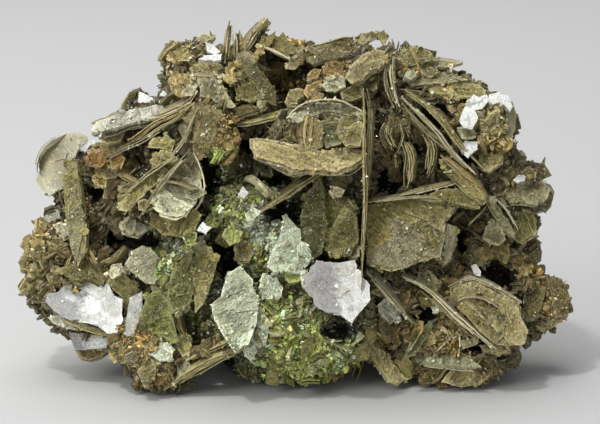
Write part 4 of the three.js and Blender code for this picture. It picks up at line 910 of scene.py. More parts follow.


# How near the front the listed books reach, on a grid over the front view
farAway = 99.0
reachGrid = {"low": (-62, -6), "cell": 0.5, "size": (250, 170), "spread": 7}  # spread is in cells
nearest = np.full(reachGrid["size"], farAway)
gridX, gridY = np.meshgrid(*(reachGrid["low"][i] + (np.arange(reachGrid["size"][i]) + 0.5) * reachGrid["cell"]
                             for i in range(2)), indexing="ij")


def nearestAt(across, depth, up):
    x, y = onFrontView(across, depth, up)
    i = int((x - reachGrid["low"][0]) / reachGrid["cell"])
    j = int((y - reachGrid["low"][1]) / reachGrid["cell"])
    if 0 <= i < reachGrid["size"][0] and 0 <= j < reachGrid["size"][1]:
        return nearest[i, j]
    return farAway


def frontOfLumps(across, up):
    reach = np.full(np.shape(across), 9.0)
    for (a, d, u, ha, hd, hu) in lumps:
        off = np.hypot((across - a) / ha, (up - u) / hu)
        front = d - hd * 0.95 * np.sqrt(np.clip(1 - off * off, 0, 1))
        reach = np.minimum(reach, np.where(off < 1, front, 9.0))
    return reach


print("laying out the listed books")
placing = {
    "thickness": 0.65,  # share of the thickness given above
    "curl": 0.06,
    "step": 0.5,
    "terraceEach": 4,  # one terrace for each so many mm of a book's size
    "clearShare": 75,  # per cent of a book that stands clear of the mass
    "clearBy": 0.3,  # by how much, and how far it may move for it, mm
    "mostMove": 2.4,
    "smallMove": 0.8,
    "smallBook": 6,
    "steep": 0.8,  # steeper faces than this, in mm back for each mm up, keep their lie
    "lieAcross": 0.3,  # how far the lie of the others wanders, mm back for each mm
    "lieUp": 0.25,
    "leanUp": 0.1,
}
chance = random.Random(7)
laid = []  # where each book lies, its outline and its colour


def faceDepth(depth, fallAcross, fallUp, middle):  # how deep a flat face lies, all over the grid
    return depth + fallAcross * (gridX - middle[0]) + fallUp * (gridY - middle[1])


for (name, depth, fallAcross, fallUp, thick, flat) in plates:
    corners = cornersOf(flat)
    middle = corners.mean(0)
    size = np.ptp(corners, axis=0).max()
    within = insidePolygon(gridX, gridY, corners)
    if within.any():
        lies = faceDepth(depth, fallAcross, fallUp, middle)[within]
        over = lies - frontOfLumps(gridX[within], gridY[within])
        sunk = np.percentile(over, placing["clearShare"]) + placing["clearBy"]
        depth -= min(max(0.0, sunk), placing["mostMove" if size > placing["smallBook"] else "smallMove"])
    stained = name not in ("silver", "clear")
    if stained and fallUp < placing["steep"]:  # no two books lie quite alike
        fallAcross = fallAcross + placing["lieAcross"] * math.sin(0.41 * middle[0] + 0.27 * middle[1])
        fallUp = fallUp + placing["leanUp"] + placing["lieUp"] * math.sin(0.33 * middle[0] - 0.39 * middle[1])
    across, rise = np.array([1, fallAcross, 0.0]), np.array([0, fallUp, 1.0])
    frameAt = (seenAt(middle[0], depth, middle[1]), across, rise, unit(np.cross(across, rise)))
    outline = (corners - middle) * growAt(depth)
    tint = tints["mint"] if name == "clear" else tints[name]
    addBook(pileFor(name, *middle), frameAt, outline, thick * placing["thickness"], tint, chance,
            terraces=int(size / placing["terraceEach"]) if fallUp < 1 else 0,
            curl=placing["curl"] / max(size, 2.5), step=placing["step"])
    if stained:
        laid.append((frameAt, outline, tint))
    nearest[within] = np.minimum(nearest[within], faceDepth(depth, fallAcross, fallUp, middle)[within])
for (name, start, stop, runBack, width, strips, turn, flat) in ribbons:
    corners = cornersOf(flat)
    edge = smoothed(corners, 30)
    depths = np.linspace(start, stop, len(edge))
    near = np.array([seenAt(a, d, u) for (a, u), d in zip(edge, depths)])
    addRibbon(pileFor(name, *corners.mean(0)), near, runBack, width, strips, turn, tints[name], chance)
    for (a, u), d in zip(edge, depths):
        close = np.hypot(gridX - a, gridY - u) < max(0.6, width / 2)
        nearest[close] = np.minimum(nearest[close], d)

spread = reachGrid["spread"]
padded = np.pad(nearest, spread, constant_values=farAway)
fronts = nearest.copy()
for i in range(2 * spread + 1):
    for j in range(2 * spread + 1):
        if math.hypot(i - spread, j - spread) <= spread:
            fronts = np.minimum(fronts, padded[i:i + nearest.shape[0], j:j + nearest.shape[1]])

print("building the mass of scales")
massStyle = {
    "voxel": 0.0012,
    "swell": 0.0032,  # m, and the size of the swellings
    "swellSize": 0.006,
    "crumb": 0.0014,
    "crumbSize": 0.0016,
    "shrink": 0.95,
    "inset": 1.0,
    "drawIn": 0.985,  # what lies past the outline is drawn in by this much, this often
    "drawTimes": 12,
    "paintedGapShade": 0.4,
}


def applyModifier(piece, kind, **settings):
    modifier = piece.modifiers.new(kind.lower(), kind)
    for key, value in settings.items():
        setattr(modifier, key, value)
    bpy.context.view_layer.objects.active = piece
    bpy.ops.object.modifier_apply(modifier=modifier.name)


wipeSelection()
parts = []
for (a, d, u, *halves) in lumps:
    middle = toPart(seenAt(a, d, u)[None])[0]
    bpy.ops.mesh.primitive_ico_sphere_add(subdivisions=3, radius=1, location=middle)
    ball = bpy.context.object
    ball.scale = [half * 0.001 * massStyle["shrink"] for half in halves]
    ball.rotation_euler = (-tilt, 0, 0)
    parts.append(ball)
for ball in parts:
    ball.select_set(True)
bpy.context.view_layer.objects.active = parts[0]
bpy.ops.object.join()
mass = bpy.context.object
mass.name = "scalyMass"
bpy.ops.object.transform_apply(location=True, rotation=True, scale=True)
applyModifier(mass, "REMESH", mode="VOXEL", voxel_size=massStyle["voxel"])
for kind in ("swell", "crumb"):
    texture = bpy.data.textures.new(kind + "Noise", "CLOUDS")
    texture.noise_scale = massStyle[kind + "Size"]
    texture.noise_depth = 3
    applyModifier(mass, "DISPLACE", texture=texture, texture_coords="LOCAL", strength=massStyle[kind],
                  mid_level=0.5)

# The hollows are pressed into the front of the mass.
low = toLayout(np.array([v.co[:] for v in mass.data.vertices]))
for (a, u, wide, high, deep) in hollows:
    front = float(frontOfLumps(a, u))
    off = ((low[:, 0] - a) / wide) ** 2 + ((low[:, 2] - u) / high) ** 2
    bottom = front + deep * np.sqrt(np.clip(1 - off, 0, 1))
    pressed = (off < 1) & (low[:, 1] < bottom) & (low[:, 1] < front + deep + 2)
    low[pressed, 1] = bottom[pressed]
for _ in range(massStyle["drawTimes"]):  # nothing of it shows past the outline of the front view
    outside = ~inSilhouette(low, massStyle["inset"])
    low[outside, 0] *= massStyle["drawIn"]
    low[outside, 2] = layout["sightUp"] + (low[outside, 2] - layout["sightUp"]) * massStyle["drawIn"]
low = toPart(low)
low[:, 2] = np.maximum(low[:, 2], 0.0)
mass.data.vertices.foreach_set("co", low.ravel())
mass.data.update()
# Painted shade: the whole mass is darkened, as shade in the gaps between the books and scales.
massTint = massTints(toLayout(low), np.random.default_rng(31)) * massStyle["paintedGapShade"]


def giveTint(mesh, colours):
    layer = mesh.color_attributes.new("tint", "FLOAT_COLOR", "POINT")
    layer.data.foreach_set("color", np.column_stack([colours, np.ones(len(colours))]).ravel())


giveTint(mass.data, massTint)

# Rays come in from these sides, and what grows starts where they land.
directions = {"front": (0, 1, -0.15), "low": (0.1, 1, 0.35), "left": (1, 0.5, -0.3), "right": (-1, 0.5, -0.3),
              "above": (0.1, 0.2, -1), "behind": (0, -1, -0.3)}
rays = {"middle": (0, 0, 34), "away": 100, "halves": (62, 48)}  # mm; the window that they come through


def builtSoFar():  # one tree of all faces, their corners, the corners' tints, and the piece of each face
    meshes = [(name, np.concatenate(pile.points), pile.faces, np.concatenate(pile.tint))
              for name, pile in piles.items()]
    meshes.append(("scalyMass", low, [tuple(p.vertices) for p in mass.data.polygons], massTint))
    allPoints, allFaces, allTints, owners = [], [], [], []
    start = 0
    for (name, points, faces, pointTints) in meshes:
        allPoints.append(points * 1000)
        allFaces.extend([tuple(i + start for i in face) for face in faces])
        allTints.append(pointTints)
        owners.extend([name] * len(faces))
        start += len(points)
    tree = BVHTree.FromPolygons(np.concatenate(allPoints).tolist(), allFaces)
    return tree, allFaces, np.concatenate(allTints), owners


def landings(target, counts, shares, seed):
    # Gives the place, the way the surface faces, its tint and whether it's the mass; all in the layout.
    tree, allFaces, allTints, owners = target
    picker = np.random.default_rng(seed)
    places, normals, colours, onMass = [], [], [], []
    for name, count in counts.items():
        heading = unit(np.array(directions[name], float))
        side = unit(np.cross(heading, (0.01, 0.02, 1.0)))
        other = np.cross(heading, side)
        offsets = picker.uniform(-1, 1, (count, 2)) * rays["halves"]
        starts = np.array(rays["middle"]) - heading * rays["away"]
        starts = starts + offsets[:, :1] * side + offsets[:, 1:] * other
        for origin, luck in zip(starts, picker.random(count)):
            place, normal, index, _ = tree.ray_cast(Vector(origin), Vector(heading))
            if place is None or luck > shares.get(owners[index], shares["others"]):
                continue
            places.append(place)
            normals.append(normal if normal.dot(Vector(heading)) < 0 else -normal)
            colours.append(allTints[allFaces[index][0]])
            onMass.append(owners[index] == "scalyMass")
    places = toLayout(np.array(places) / 1000)
    return places, np.array(normals) @ layoutToPart[:, :3], np.array(colours), np.array(onMass)


print("growing small books out of the mass")
handBooks = builtSoFar()
smallStyle = {
    "rays": {"front": 11000, "low": 2600, "left": 2000, "right": 2000, "above": 2600, "behind": 2400},
    "length": (0.9, 4.6),
    "width": (0.5, 1.3),  # share of the length
    "thick": (0.3, 1.1),
    "mossy": 0.5,  # how much shorter they are in the green part
    "splinters": 0.2,  # share that are long thin splinters, seen as pale lines
    "mossySplinters": 0.05,
    "splinterLonger": 1.3,
    "splinterWidth": (0.5, 1.2),
    "splinterThick": 0.3,
    "splinterCream": 0.4,
    "cream": 0.08,
    "tip": 0.42,  # how far out the tip is, how far the middle is back from it, and how deep the base is
    "back": 0.25,
    "base": 0.2,
    "clear": 0.3,  # how far it keeps behind the listed books, mm
    "fewerBehind": 0.35,
    "tones": (0.9, 1.2, 1.55),
    "floorGap": 0.0004,
}
chance = random.Random(77)
grown = 0
spots, facings, _, _ = landings(handBooks, smallStyle["rays"], {"scalyMass": 1, "others": 0}, 5)
smallTints = massTints(spots, np.random.default_rng(8))
hidden = inHollow(spots, 0.9)
for place, normal, tint, skip in zip(spots, facings, smallTints, hidden):
    side = anyWay(chance)
    outward = unit(np.cross(normal, side) + normal * chance.uniform(-0.5, 0.5))
    along = unit(normal - (normal @ outward) * outward)
    across = np.cross(outward, along)
    length = between(smallStyle["length"], chance.random() ** 2)
    behind = place[1] > 0
    mossy = place[1] < crust["greenTo"] and bool(insidePolygon(place[0], place[2], greenArea))
    if mossy:
        length *= smallStyle["mossy"]
    width = length * chance.uniform(*smallStyle["width"])
    thick = chance.uniform(*smallStyle["thick"])
    splinter = chance.random() < smallStyle["mossySplinters" if mossy else "splinters"]
    if splinter:
        length, width = length * smallStyle["splinterLonger"], chance.uniform(*smallStyle["splinterWidth"])
        thick = smallStyle["splinterThick"]
    tip = place + along * length * smallStyle["tip"]
    base = place - along * length * smallStyle["base"]
    if skip or heightOf(np.array([tip, base])).min() < smallStyle["floorGap"]:
        continue
    edge = min(nearestAt(*(tip + across * w * width)) for w in (-0.5, 0, 0.5))
    if tip[1] < edge + smallStyle["clear"] and edge < farAway / 2:
        continue
    if not inSilhouette(np.array([tip])).all():
        continue
    if behind and chance.random() < smallStyle["fewerBehind"]:
        continue
    tone = mixTint(tuple(tint), tints["cream"], smallStyle["splinterCream" if splinter else "cream"])
    tone = shade(tone, chance.choice(smallStyle["tones"]))
    frameAt = (tip - along * length * smallStyle["back"], along, across, outward)
    outline = cornersOf(bookOutline) * np.array([length, width])
    addBook(smallPileFor(place, behind), frameAt, outline, thick, tone, chance, curl=0.02, splay=0.14,
            step=0.9, plain=True)
    grown += 1
print("small books:", grown)

print("growing flakes on the edges of the listed books")
edgeStyle = {
    "spacing": 2.2,  # mm
    "size": (0.7, 2.3),
    "width": (0.4, 1.0),  # share of the size
    "thick": (0.15, 0.5),
    "turn": 0.9,
    "inwards": (0.8, 1.02),
    "lift": 0.15,  # mm off the face
    "mix": 0.4,
    "mixes": ("olive", "khaki", "tan", "cream", "umber"),
    "tones": (0.5, 0.9, 1.2, 1.5),
    "floorGap": 0.0015,
}
chance = random.Random(31)
for (origin, across, rise, outward), outline, tint in laid:
    closed = np.concatenate([outline, outline[:1]])
    ends = np.concatenate([[0], np.cumsum(np.hypot(*np.diff(closed, axis=0).T))])
    for _ in range(int(ends[-1] / edgeStyle["spacing"])):
        far = chance.random() * ends[-1]
        spot = np.array([np.interp(far, ends, closed[:, 0]), np.interp(far, ends, closed[:, 1])])
        spot = spot * chance.uniform(*edgeStyle["inwards"])
        place = origin + spot[0] * across + spot[1] * rise + outward * edgeStyle["lift"]
        facing = unit(outward + edgeStyle["turn"] * anyWay(chance))
        along = unit(np.cross(facing, anyWay(chance)))
        size = between(edgeStyle["size"], chance.random() ** 1.6)
        if not inSilhouette(place[None], 0.3).all() or heightOf(place[None])[0] < edgeStyle["floorGap"]:
            continue
        tone = mixTint(tint, tints[chance.choice(edgeStyle["mixes"])], edgeStyle["mix"])
        tone = shade(tone, chance.choice(edgeStyle["tones"]))
        shape = cornersOf(bookOutline) * np.array([size, size * chance.uniform(*edgeStyle["width"])])
        addBook(smallPileFor(place, False), (place, along, np.cross(facing, along), facing), shape,
                chance.uniform(*edgeStyle["thick"]), tone, chance, curl=0.02, splay=0.1, step=0.9, plain=True)

print("growing thin leaves, stood on edge")
leafStyle = {
    "rays": {"front": 1300, "low": 300, "left": 350, "right": 350, "above": 500, "behind": 600},
    "length": (3.5, 12),
    "width": (1.2, 4.5),
    "thick": (0.15, 0.7),
    "bow": 1.6,  # the most that a leaf bends, mm
    "sink": (-0.6, 0.7),
    "lean": 0.9,
    "clear": 0.4,  # mm behind the listed books
    "pale": 0.3,  # share of them that are pale
    "creamMix": 0.5,
    "khakiMix": 0.3,
    "fewerBehind": 0.3,
    "floorGap": 0.001,
}
chance = random.Random(404)
grown = 0
spots, facings, _, _ = landings(handBooks, leafStyle["rays"], {"scalyMass": 1, "others": 0}, 6)
leafTints = massTints(spots, np.random.default_rng(9))
for place, normal, tint in zip(spots, facings, leafTints):
    side = unit(np.cross(normal, anyWay(chance)))
    along = unit(side + normal * chance.uniform(-0.2, 0.7))
    length = between(leafStyle["length"], chance.random() ** 1.7)
    width = chance.uniform(*leafStyle["width"])
    back = -normal + anyWay(chance, leafStyle["lean"])
    back = unit(back - (back @ along) * along)
    outline = cornersOf(leafOutline) * np.array([length, width])
    outline -= outline.mean(0)
    centre = place + normal * chance.uniform(*leafStyle["sink"]) + back * width * 0.3
    ends = np.array([centre + along * length * t - back * width * 0.5 for t in (-0.5, -0.25, 0, 0.25, 0.5)])
    limits = [nearestAt(*end) for end in ends]
    hides = [limit < farAway / 2 and end[1] < limit + leafStyle["clear"] for end, limit in zip(ends, limits)]
    if any(hides) or not inSilhouette(ends, 0.3).all():
        continue
    if heightOf(ends).min() < leafStyle["floorGap"] or inHollow(ends).any():
        continue
    behind = place[1] > 0
    if behind and chance.random() < leafStyle["fewerBehind"]:
        continue
    pale = chance.random() < leafStyle["pale"]
    mixed = "cream" if pale else "khaki"
    tone = mixTint(tuple(tint), tints[mixed], leafStyle[mixed + "Mix"])
    addBook(smallPileFor(place, behind), (centre, along, back, np.cross(along, back)), outline,
            chance.uniform(*leafStyle["thick"]), tone, chance, splay=0.03, step=1.0, strands=0.15, plain=True,
            curl=min(leafStyle["bow"], 0.14 * length) / (length / 2) ** 2)
    grown += 1
print("leaves:", grown)

print("growing the back books")
backStyle = {
    "rows": 7,
    "columns": 9,
    "wide": 88,
    "low": 6,
    "high": 66,
    "length": (8, 16),
    "width": (7, 14),
    "thick": (1, 2.6),
    "tints": ["khaki", "olive", "tan", "khaki", "grey", "moss", "umber"],
    "lowest": 9,  # mm over the floor
    "floorRise": 0.21,  # how much higher the floor is seen for each mm back
    "middle": 36,
    "halfHeight": 40,
    "tilt": 1,  # how far they lean any way
    "shortest": 4,
}
chance = random.Random(12)


def backOfLumps(across, up):
    reaches = []
    for (a, d, u, ha, hd, hu) in lumps:
        off = math.hypot((across - a) / ha, (up - u) / hu)
        if off < 0.96:
            reaches.append(d + hd * math.sqrt(1 - off * off))
    return max(reaches, default=None)


for row in range(backStyle["rows"]):
    for column in range(backStyle["columns"]):
        across = (column + chance.uniform(0.1, 0.9)) * backStyle["wide"] / backStyle["columns"]
        across -= backStyle["wide"] / 2
        tall = backStyle["high"] - backStyle["low"]
        up = backStyle["low"] + (row + chance.uniform(0.1, 0.9)) * tall / backStyle["rows"]
        depth = backOfLumps(across, up)
        if depth is not None and not inSilhouette(np.array([[across, depth, up]]), -9).all():
            continue
        leans = [chance.uniform(-backStyle["tilt"], backStyle["tilt"]) for _ in range(2)]
        aside = leans[0] + across / layout["halfWidth"]
        upward = leans[1] + (up - backStyle["middle"]) / backStyle["halfHeight"]
        outward = unit(np.array([aside, 1, upward]))
        turn = chance.random() * math.pi
        along = np.array([math.cos(turn), 0, math.sin(turn)])
        along = unit(along - (along @ outward) * outward)
        length, width = chance.uniform(*backStyle["length"]), chance.uniform(*backStyle["width"])
        thick = chance.uniform(*backStyle["thick"])
        tintName = chance.choice(backStyle["tints"])
        if depth is None or up - backStyle["floorRise"] * depth < backStyle["lowest"]:
            continue
        outline = cornersOf(bookOutline) * np.array([length, width])
        middle, rise = seenAt(across, depth, up), np.cross(outward, along)
        while length > 3:
            if inSilhouette(middle + outline[:, :1] * along + outline[:, 1:] * rise, 1).all():
                break
            outline, length = outline * 0.85, length * 0.85
        if length > backStyle["shortest"]:
            addBook(pileNamed("backBooks"), (middle, along, rise, outward), outline, thick, tints[tintName],
                    chance, terraces=3, curl=0.006, splay=0.05, step=1.1)

print("scattering scales")
scaleStyle = {
    "rays": {"front": 44000, "low": 12000, "left": 9000, "right": 9000, "above": 11000, "behind": 13000},
    "shares": {"silverBooks": 0.03, "clearBooks": 0.1, "scalyMass": 1.0, "smallBooksWest": 0.35,
               "smallBooksEast": 0.35, "smallBooksBack": 0.35, "middleLowBooks": 0.75, "others": 0.5},
    "size": (0.2, 0.9),
    "spread": 0.55,  # how unevenly they lie
    "corners": (0.5, 1.25),  # how far out they are, as shares of the size
    "cornerTurn": 0.4,
    "width": (0.35, 1),
    "lift": 0.3,  # how high the middle lies, as a share of the size
    "floorGap": 0.0001,
    "rise": 0.13,  # half the thickness in the middle, as a share of the size
    "onBooks": 0.6,  # how much smaller they are there
    "massTones": [0.35, 0.6, 0.85, 1.15, 1.5],
    "bookTones": [0.6, 0.8, 1, 1.15, 1.35],
    "glints": 0.06,
    "bookGlints": 0.018,
    "glintSize": 0.45,
    "paintedGlintTint": (0.85, 0.83, 0.70),
    "crustLift": 1.15,
    "brightest": 0.85,
}


def scatterScales(name, places, normals, sizes, colours, seed):
    # Many closed four-cornered flakes at once, each a little thicker in the middle.
    picker = np.random.default_rng(seed)
    count = len(places)
    outward = normals + picker.normal(0, scaleStyle["spread"], (count, 3))
    outward /= np.linalg.norm(outward, axis=1)[:, None]
    side = np.cross(outward, picker.normal(0, 1, (count, 3)))
    side /= np.linalg.norm(side, axis=1)[:, None]
    other = np.cross(outward, side)
    angle = picker.uniform(0, 6, count)[:, None] + np.arange(4) * math.pi / 2
    angle = angle + picker.uniform(-scaleStyle["cornerTurn"], scaleStyle["cornerTurn"], (count, 4))
    reach = sizes[:, None] * picker.uniform(*scaleStyle["corners"], (count, 4))
    narrow = picker.uniform(*scaleStyle["width"], (count, 1))
    ring = (side[:, None] * (np.cos(angle) * reach)[..., None]
            + other[:, None] * (np.sin(angle) * reach * narrow)[..., None])
    middle = (places + normals * scaleStyle["lift"] * sizes[:, None])[:, None]
    lift = (outward * (scaleStyle["rise"] * sizes)[:, None])[:, None]
    points = np.concatenate([ring + middle, middle + lift, middle - lift], axis=1)
    kept = inSilhouette(points[:, 4], 0.4)
    points = toPart(points.reshape(-1, 3)).reshape(count, 6, 3)
    kept &= points[..., 2].min(axis=1) > scaleStyle["floorGap"]
    points, colours = points[kept], colours[kept]
    count = len(points)
    pattern = np.array([((k + 1) % 4, 4, k) for k in range(4)] + [(k, 5, (k + 1) % 4) for k in range(4)])
    faces = (pattern[None] + 6 * np.arange(count)[:, None, None]).reshape(-1, 3).tolist()
    rim = np.repeat(picker.uniform(0, 1, count), 6)
    pileNamed(name).add(points.reshape(-1, 3), faces, np.repeat(colours, 6, axis=0), rim)
    print(name, count)


# Scales lie on whatever is seen.
places, normals, under, onMass = landings(builtSoFar(), scaleStyle["rays"], scaleStyle["shares"], 18)
picker = np.random.default_rng(19)
sizes = between(scaleStyle["size"], picker.random(len(places)) ** 1.8)
sizes[~onMass] *= scaleStyle["onBooks"]
colours = np.where(onMass[:, None], massTints(places, picker) * scaleStyle["crustLift"], under)
colours = colours * np.where(onMass, picker.choice(scaleStyle["massTones"], len(places)),
                             picker.choice(scaleStyle["bookTones"], len(places)))[:, None]
# Painted highlight: some flakes are coloured near white to stand for glints.
glint = picker.random(len(places)) < np.where(onMass, scaleStyle["glints"], scaleStyle["bookGlints"])
sizes[glint] = np.minimum(sizes[glint], scaleStyle["glintSize"])
colours[glint] = scaleStyle["paintedGlintTint"]
colours = np.minimum(colours, scaleStyle["brightest"])
front, west = places[:, 1] < 0, places[:, 0] < 0
for name, chosen in (("scalesWest", front & west), ("scalesEast", front & ~west), ("scalesBack", ~front)):
    scatterScales(name, places[chosen], normals[chosen], sizes[chosen], colours[chosen], 19)

print("joining the sheets")
pieces = {}
floorGap = 0.00003  # m
for name, pile in piles.items():
    mesh = bpy.data.meshes.new(name)
    points = np.concatenate(pile.points)
    points[:, 2] = np.maximum(points[:, 2], floorGap)
    mesh.from_pydata(points.tolist(), [], pile.faces)
    giveTint(mesh, np.concatenate(pile.tint))
    rim = mesh.attributes.new("rim", "FLOAT", "POINT")
    rim.data.foreach_set("value", np.concatenate(pile.rim))
    if pile.flat:
        flat = mesh.attributes.new("sheetPlace", "FLOAT_VECTOR", "POINT")
        flat.data.foreach_set("vector", np.concatenate(pile.flat).ravel())
    piece = bpy.data.objects.new(name, mesh)
    bpy.context.scene.collection.objects.link(piece)
    pieces[name] = piece
    print(name, len(points), "points", sum(len(f) - 2 for f in pile.faces), "triangles")
pieces["scalyMass"] = mass


# Finishes
class Wire:  # a socket that Python's own signs can be used on
    def __init__(self, shader, socket):
        self.shader = shader
        self.socket = socket

    def maths(self, operation, *values):
        return self.shader.node("ShaderNodeMath", {"operation": operation}, dict(enumerate(values)))

    def __add__(self, other):
        return self.maths("ADD", self, other)

    def __sub__(self, other):
        return self.maths("SUBTRACT", self, other)

    def __rsub__(self, other):
        return self.maths("SUBTRACT", other, self)

    def __mul__(self, other):
        return self.maths("MULTIPLY", self, other)

    __radd__ = __add__
    __rmul__ = __mul__

    def __pow__(self, other):
        return self.maths("POWER", self, other)

    def above(self, low, high):  # 0 below low, 1 above high
        values = {0: self, 1: low, 2: high, 3: 0.0, 4: 1.0}
        return self.shader.node("ShaderNodeMapRange", {"clamp": True}, values)


class Shader:
    def __init__(self, name):
        self.material = bpy.data.materials.new(name)
        self.material.use_nodes = True
        self.tree = self.material.node_tree
        self.surface = self.tree.nodes["Principled BSDF"]
        self.place = self.node("ShaderNodeTexCoord", {}, {}, "Object")

    def node(self, kind, settings, values, output=0):
        made = self.tree.nodes.new(kind)
        for key, value in settings.items():
            setattr(made, key, value)
        for key, value in values.items():
            self.feed(made.inputs[key], value)
        return Wire(self, made.outputs[output])

    def feed(self, socket, value):
        if isinstance(value, Wire):
            self.tree.links.new(value.socket, socket)
        else:
            socket.default_value = value

    def noise(self, scale, detail=4.0, rough=0.55, warp=0.0, place=None):
        values = {"Vector": place or self.place, "Scale": scale, "Detail": detail, "Roughness": rough,
                  "Distortion": warp}
        return self.node("ShaderNodeTexNoise", {}, values, "Fac")

    def cells(self, scale, place=None):  # one number for each cell
        made = self.node("ShaderNodeTexVoronoi", {}, {"Vector": place or self.place, "Scale": scale}, "Color")
        return self.node("ShaderNodeSeparateColor", {}, {0: made})

    def scaled(self, colour, amount):
        return self.node("ShaderNodeVectorMath", {"operation": "SCALE"}, {0: colour, "Scale": amount})

    def axis(self, number):
        return self.node("ShaderNodeSeparateXYZ", {}, {0: self.place}, number)

    def attribute(self, name, output):
        return self.node("ShaderNodeAttribute", {"attribute_name": name}, {}, output)

    def blend(self, factor, first, second):  # a name stands for that colour
        first, second = (dyeOrPaintedLight(c) if isinstance(c, str) else c for c in (first, second))
        return self.node("ShaderNodeMix", {"data_type": "RGBA"}, {0: factor, 6: first, 7: second}, 2)

    def set(self, **values):
        for key, value in values.items():
            self.feed(self.surface.inputs[key.replace("_", " ")], value)

    def bump(self, height, strength, distance):
        values = {"Strength": strength, "Distance": distance, "Height": height}
        self.set(Normal=self.node("ShaderNodeBump", {}, values))


dyesAndPaintedLight = {  # colours that no book has, linear; some of them are painted light or shade
    "grime": (0.020, 0.018, 0.008),
    "sparkle": (0.75, 0.72, 0.55),
    "paleRim": (0.72, 0.66, 0.42),
    # The mirror grey, fold and crease are painted shade on the silvery books; the fold is partly their
    # greenish grey.
    "mirrorGrey": (0.35, 0.345, 0.35),
    "foldTintAndPaintedShade": (0.40, 0.45, 0.36),
    "paintedCreaseShade": (0.16, 0.17, 0.13),
    # The gap colour is a painted shadow between the grains of the crust.
    "gap": (0.015, 0.013, 0.007),
    "dust": (0.02, 0.016, 0.010),
    "clearMica": (0.33, 0.31, 0.19),
    "clearRim": (0.66, 0.72, 0.44),
    # The two paper colours paint light on one sweep: the wall brighter, the floor dimmer.
    "paperFloorPaintedDim": (0.43, 0.43, 0.425),
    "paperWallPaintedBright": (0.85, 0.85, 0.86),
}


def dyeOrPaintedLight(name):
    return (*(dyesAndPaintedLight[name] if name in dyesAndPaintedLight else tints[name]), 1.0)


micaLook = {
    "rough": 0.34,
    "metal": 0.0,
    "pearl": 0.0,
    "shine": 0.2,
    "stain": 0.75,
    "rimShare": 0.8,
    "rimLift": 1.9,
    "grain": 1.0,
    "relief": 1.0,
    "reliefDepth": 0.0004,  # m
    "silvery": False,
}
silverLook = {
    **micaLook, "rough": 0.30, "metal": 0.25, "pearl": 0.4, "stain": 0.3, "rimShare": 0.15, "grain": 0.3,
    "relief": 1.3, "silvery": True,
}
paintedReflectionZones = {  # where the painted reflection turns the silvery books white, m across
    "middleFrom": (0.0068, 0.0080),
    "leftFrom": (-0.0448, -0.0425),
    "leftTo": (-0.0040, -0.0030),
}


def micaFinish(name, look):
    shader = Shader(name)
    tint = shader.attribute("tint", "Color")
    rim = shader.attribute("rim", "Fac")
    grain, stain = look["grain"], look["stain"]
    # Noise on the sheets' own places is scaled per millimetre, the other noise per metre.
    flat = shader.scaled(shader.place, 1000) if look["silvery"] else shader.attribute("sheetPlace", "Vector")
    patches = shader.noise(0.17, 6.0, 0.68, place=flat)
    streaks = shader.noise(1.0, 6.0, 0.78, warp=0.5, place=flat)
    folds = shader.noise(0.4, 3.0, 0.6, warp=0.8, place=flat)
    flakes = shader.cells(1.5, place=flat)
    specks = shader.noise(1900.0, 4.0, 0.75)
    fine = shader.noise(3600.0, 2.0, 0.6)
    lit = streaks.above(0.36, 0.66) * (1.1 * grain) + flakes * (0.4 * grain) + (1.0 - 0.88 * grain)
    colour = tint
    if look["silvery"]:  # painted reflection: the silvery books are near white, but grey at the far left of the part and in a band about its middle, where no reflection is painted
        x = shader.axis(0) + (patches - 0.5) * 0.008
        x = x + (streaks - 0.5) * 0.006
        paintedReflection = x.above(*paintedReflectionZones["middleFrom"])
        paintedReflection = paintedReflection + x.above(*paintedReflectionZones["leftFrom"]) * (1 - x.above(*paintedReflectionZones["leftTo"]))
        colour = shader.blend(paintedReflection, "mirrorGrey", tint)
        # Partly the sheet's greenish grey, partly painted shade over its folds; the cracks get painted shade.
        colour = shader.blend(folds.above(0.54, 0.64) * 0.6, colour, "foldTintAndPaintedShade")
        colour = shader.blend(streaks.above(0.60, 0.68) * 0.6, colour, "paintedCreaseShade")
    colour = shader.blend(patches.above(0.42, 0.62) * stain, colour, "umber")
    colour = shader.blend((1 - patches).above(0.54, 0.68) * stain * 0.3, colour, "gold")
    colour = shader.scaled(colour, lit * (fine.above(0.35, 0.65) * (0.7 * grain) + (1 - 0.35 * grain)))
    colour = shader.blend(specks.above(0.53, 0.66) * 0.7 * stain, colour, "grime")
    # Painted highlight: tiny near-white specks stand for glints on the mica.
    colour = shader.blend((1 - fine).above(0.635, 0.67) * 0.75, colour, "sparkle")
    pale = shader.blend(0.5, shader.scaled(tint, look["rimLift"]), "paleRim")
    colour = shader.blend(rim * (patches.above(0.38, 0.50) * 0.5 + 0.5) * look["rimShare"], colour, pale)
    shader.set(Base_Color=colour, Roughness=streaks * 0.4 + (look["rough"] - 0.2), Metallic=look["metal"],
               Coat_Weight=look["pearl"], Coat_Roughness=0.25, Specular_IOR_Level=look["shine"])
    height = (folds * 0.7 + streaks * 0.7 + specks * 0.45 + flakes * 0.2) * look["relief"]
    shader.bump(height, 0.9, look["reliefDepth"])
    return shader.material


def massFinish():
    shader = Shader("scaly crust")
    grain = shader.noise(1800.0, 4.0, 0.7)
    cell = shader.cells(1700.0)
    patches = shader.noise(400.0, 4.0, 0.6)
    colour = shader.scaled(shader.attribute("tint", "Color"), (cell ** 1.5) * 1.1 + 0.35)
    # Painted shadow: dark between the grains.
    colour = shader.blend(grain.above(0.45, 0.65) * 0.7, colour, "gap")
    colour = shader.blend(patches.above(0.60, 0.75) * 0.3, colour, "khaki")
    shader.set(Base_Color=colour, Roughness=0.55)
    shader.bump(grain + patches + cell * 0.6, 0.8, 0.0006)
    return shader.material


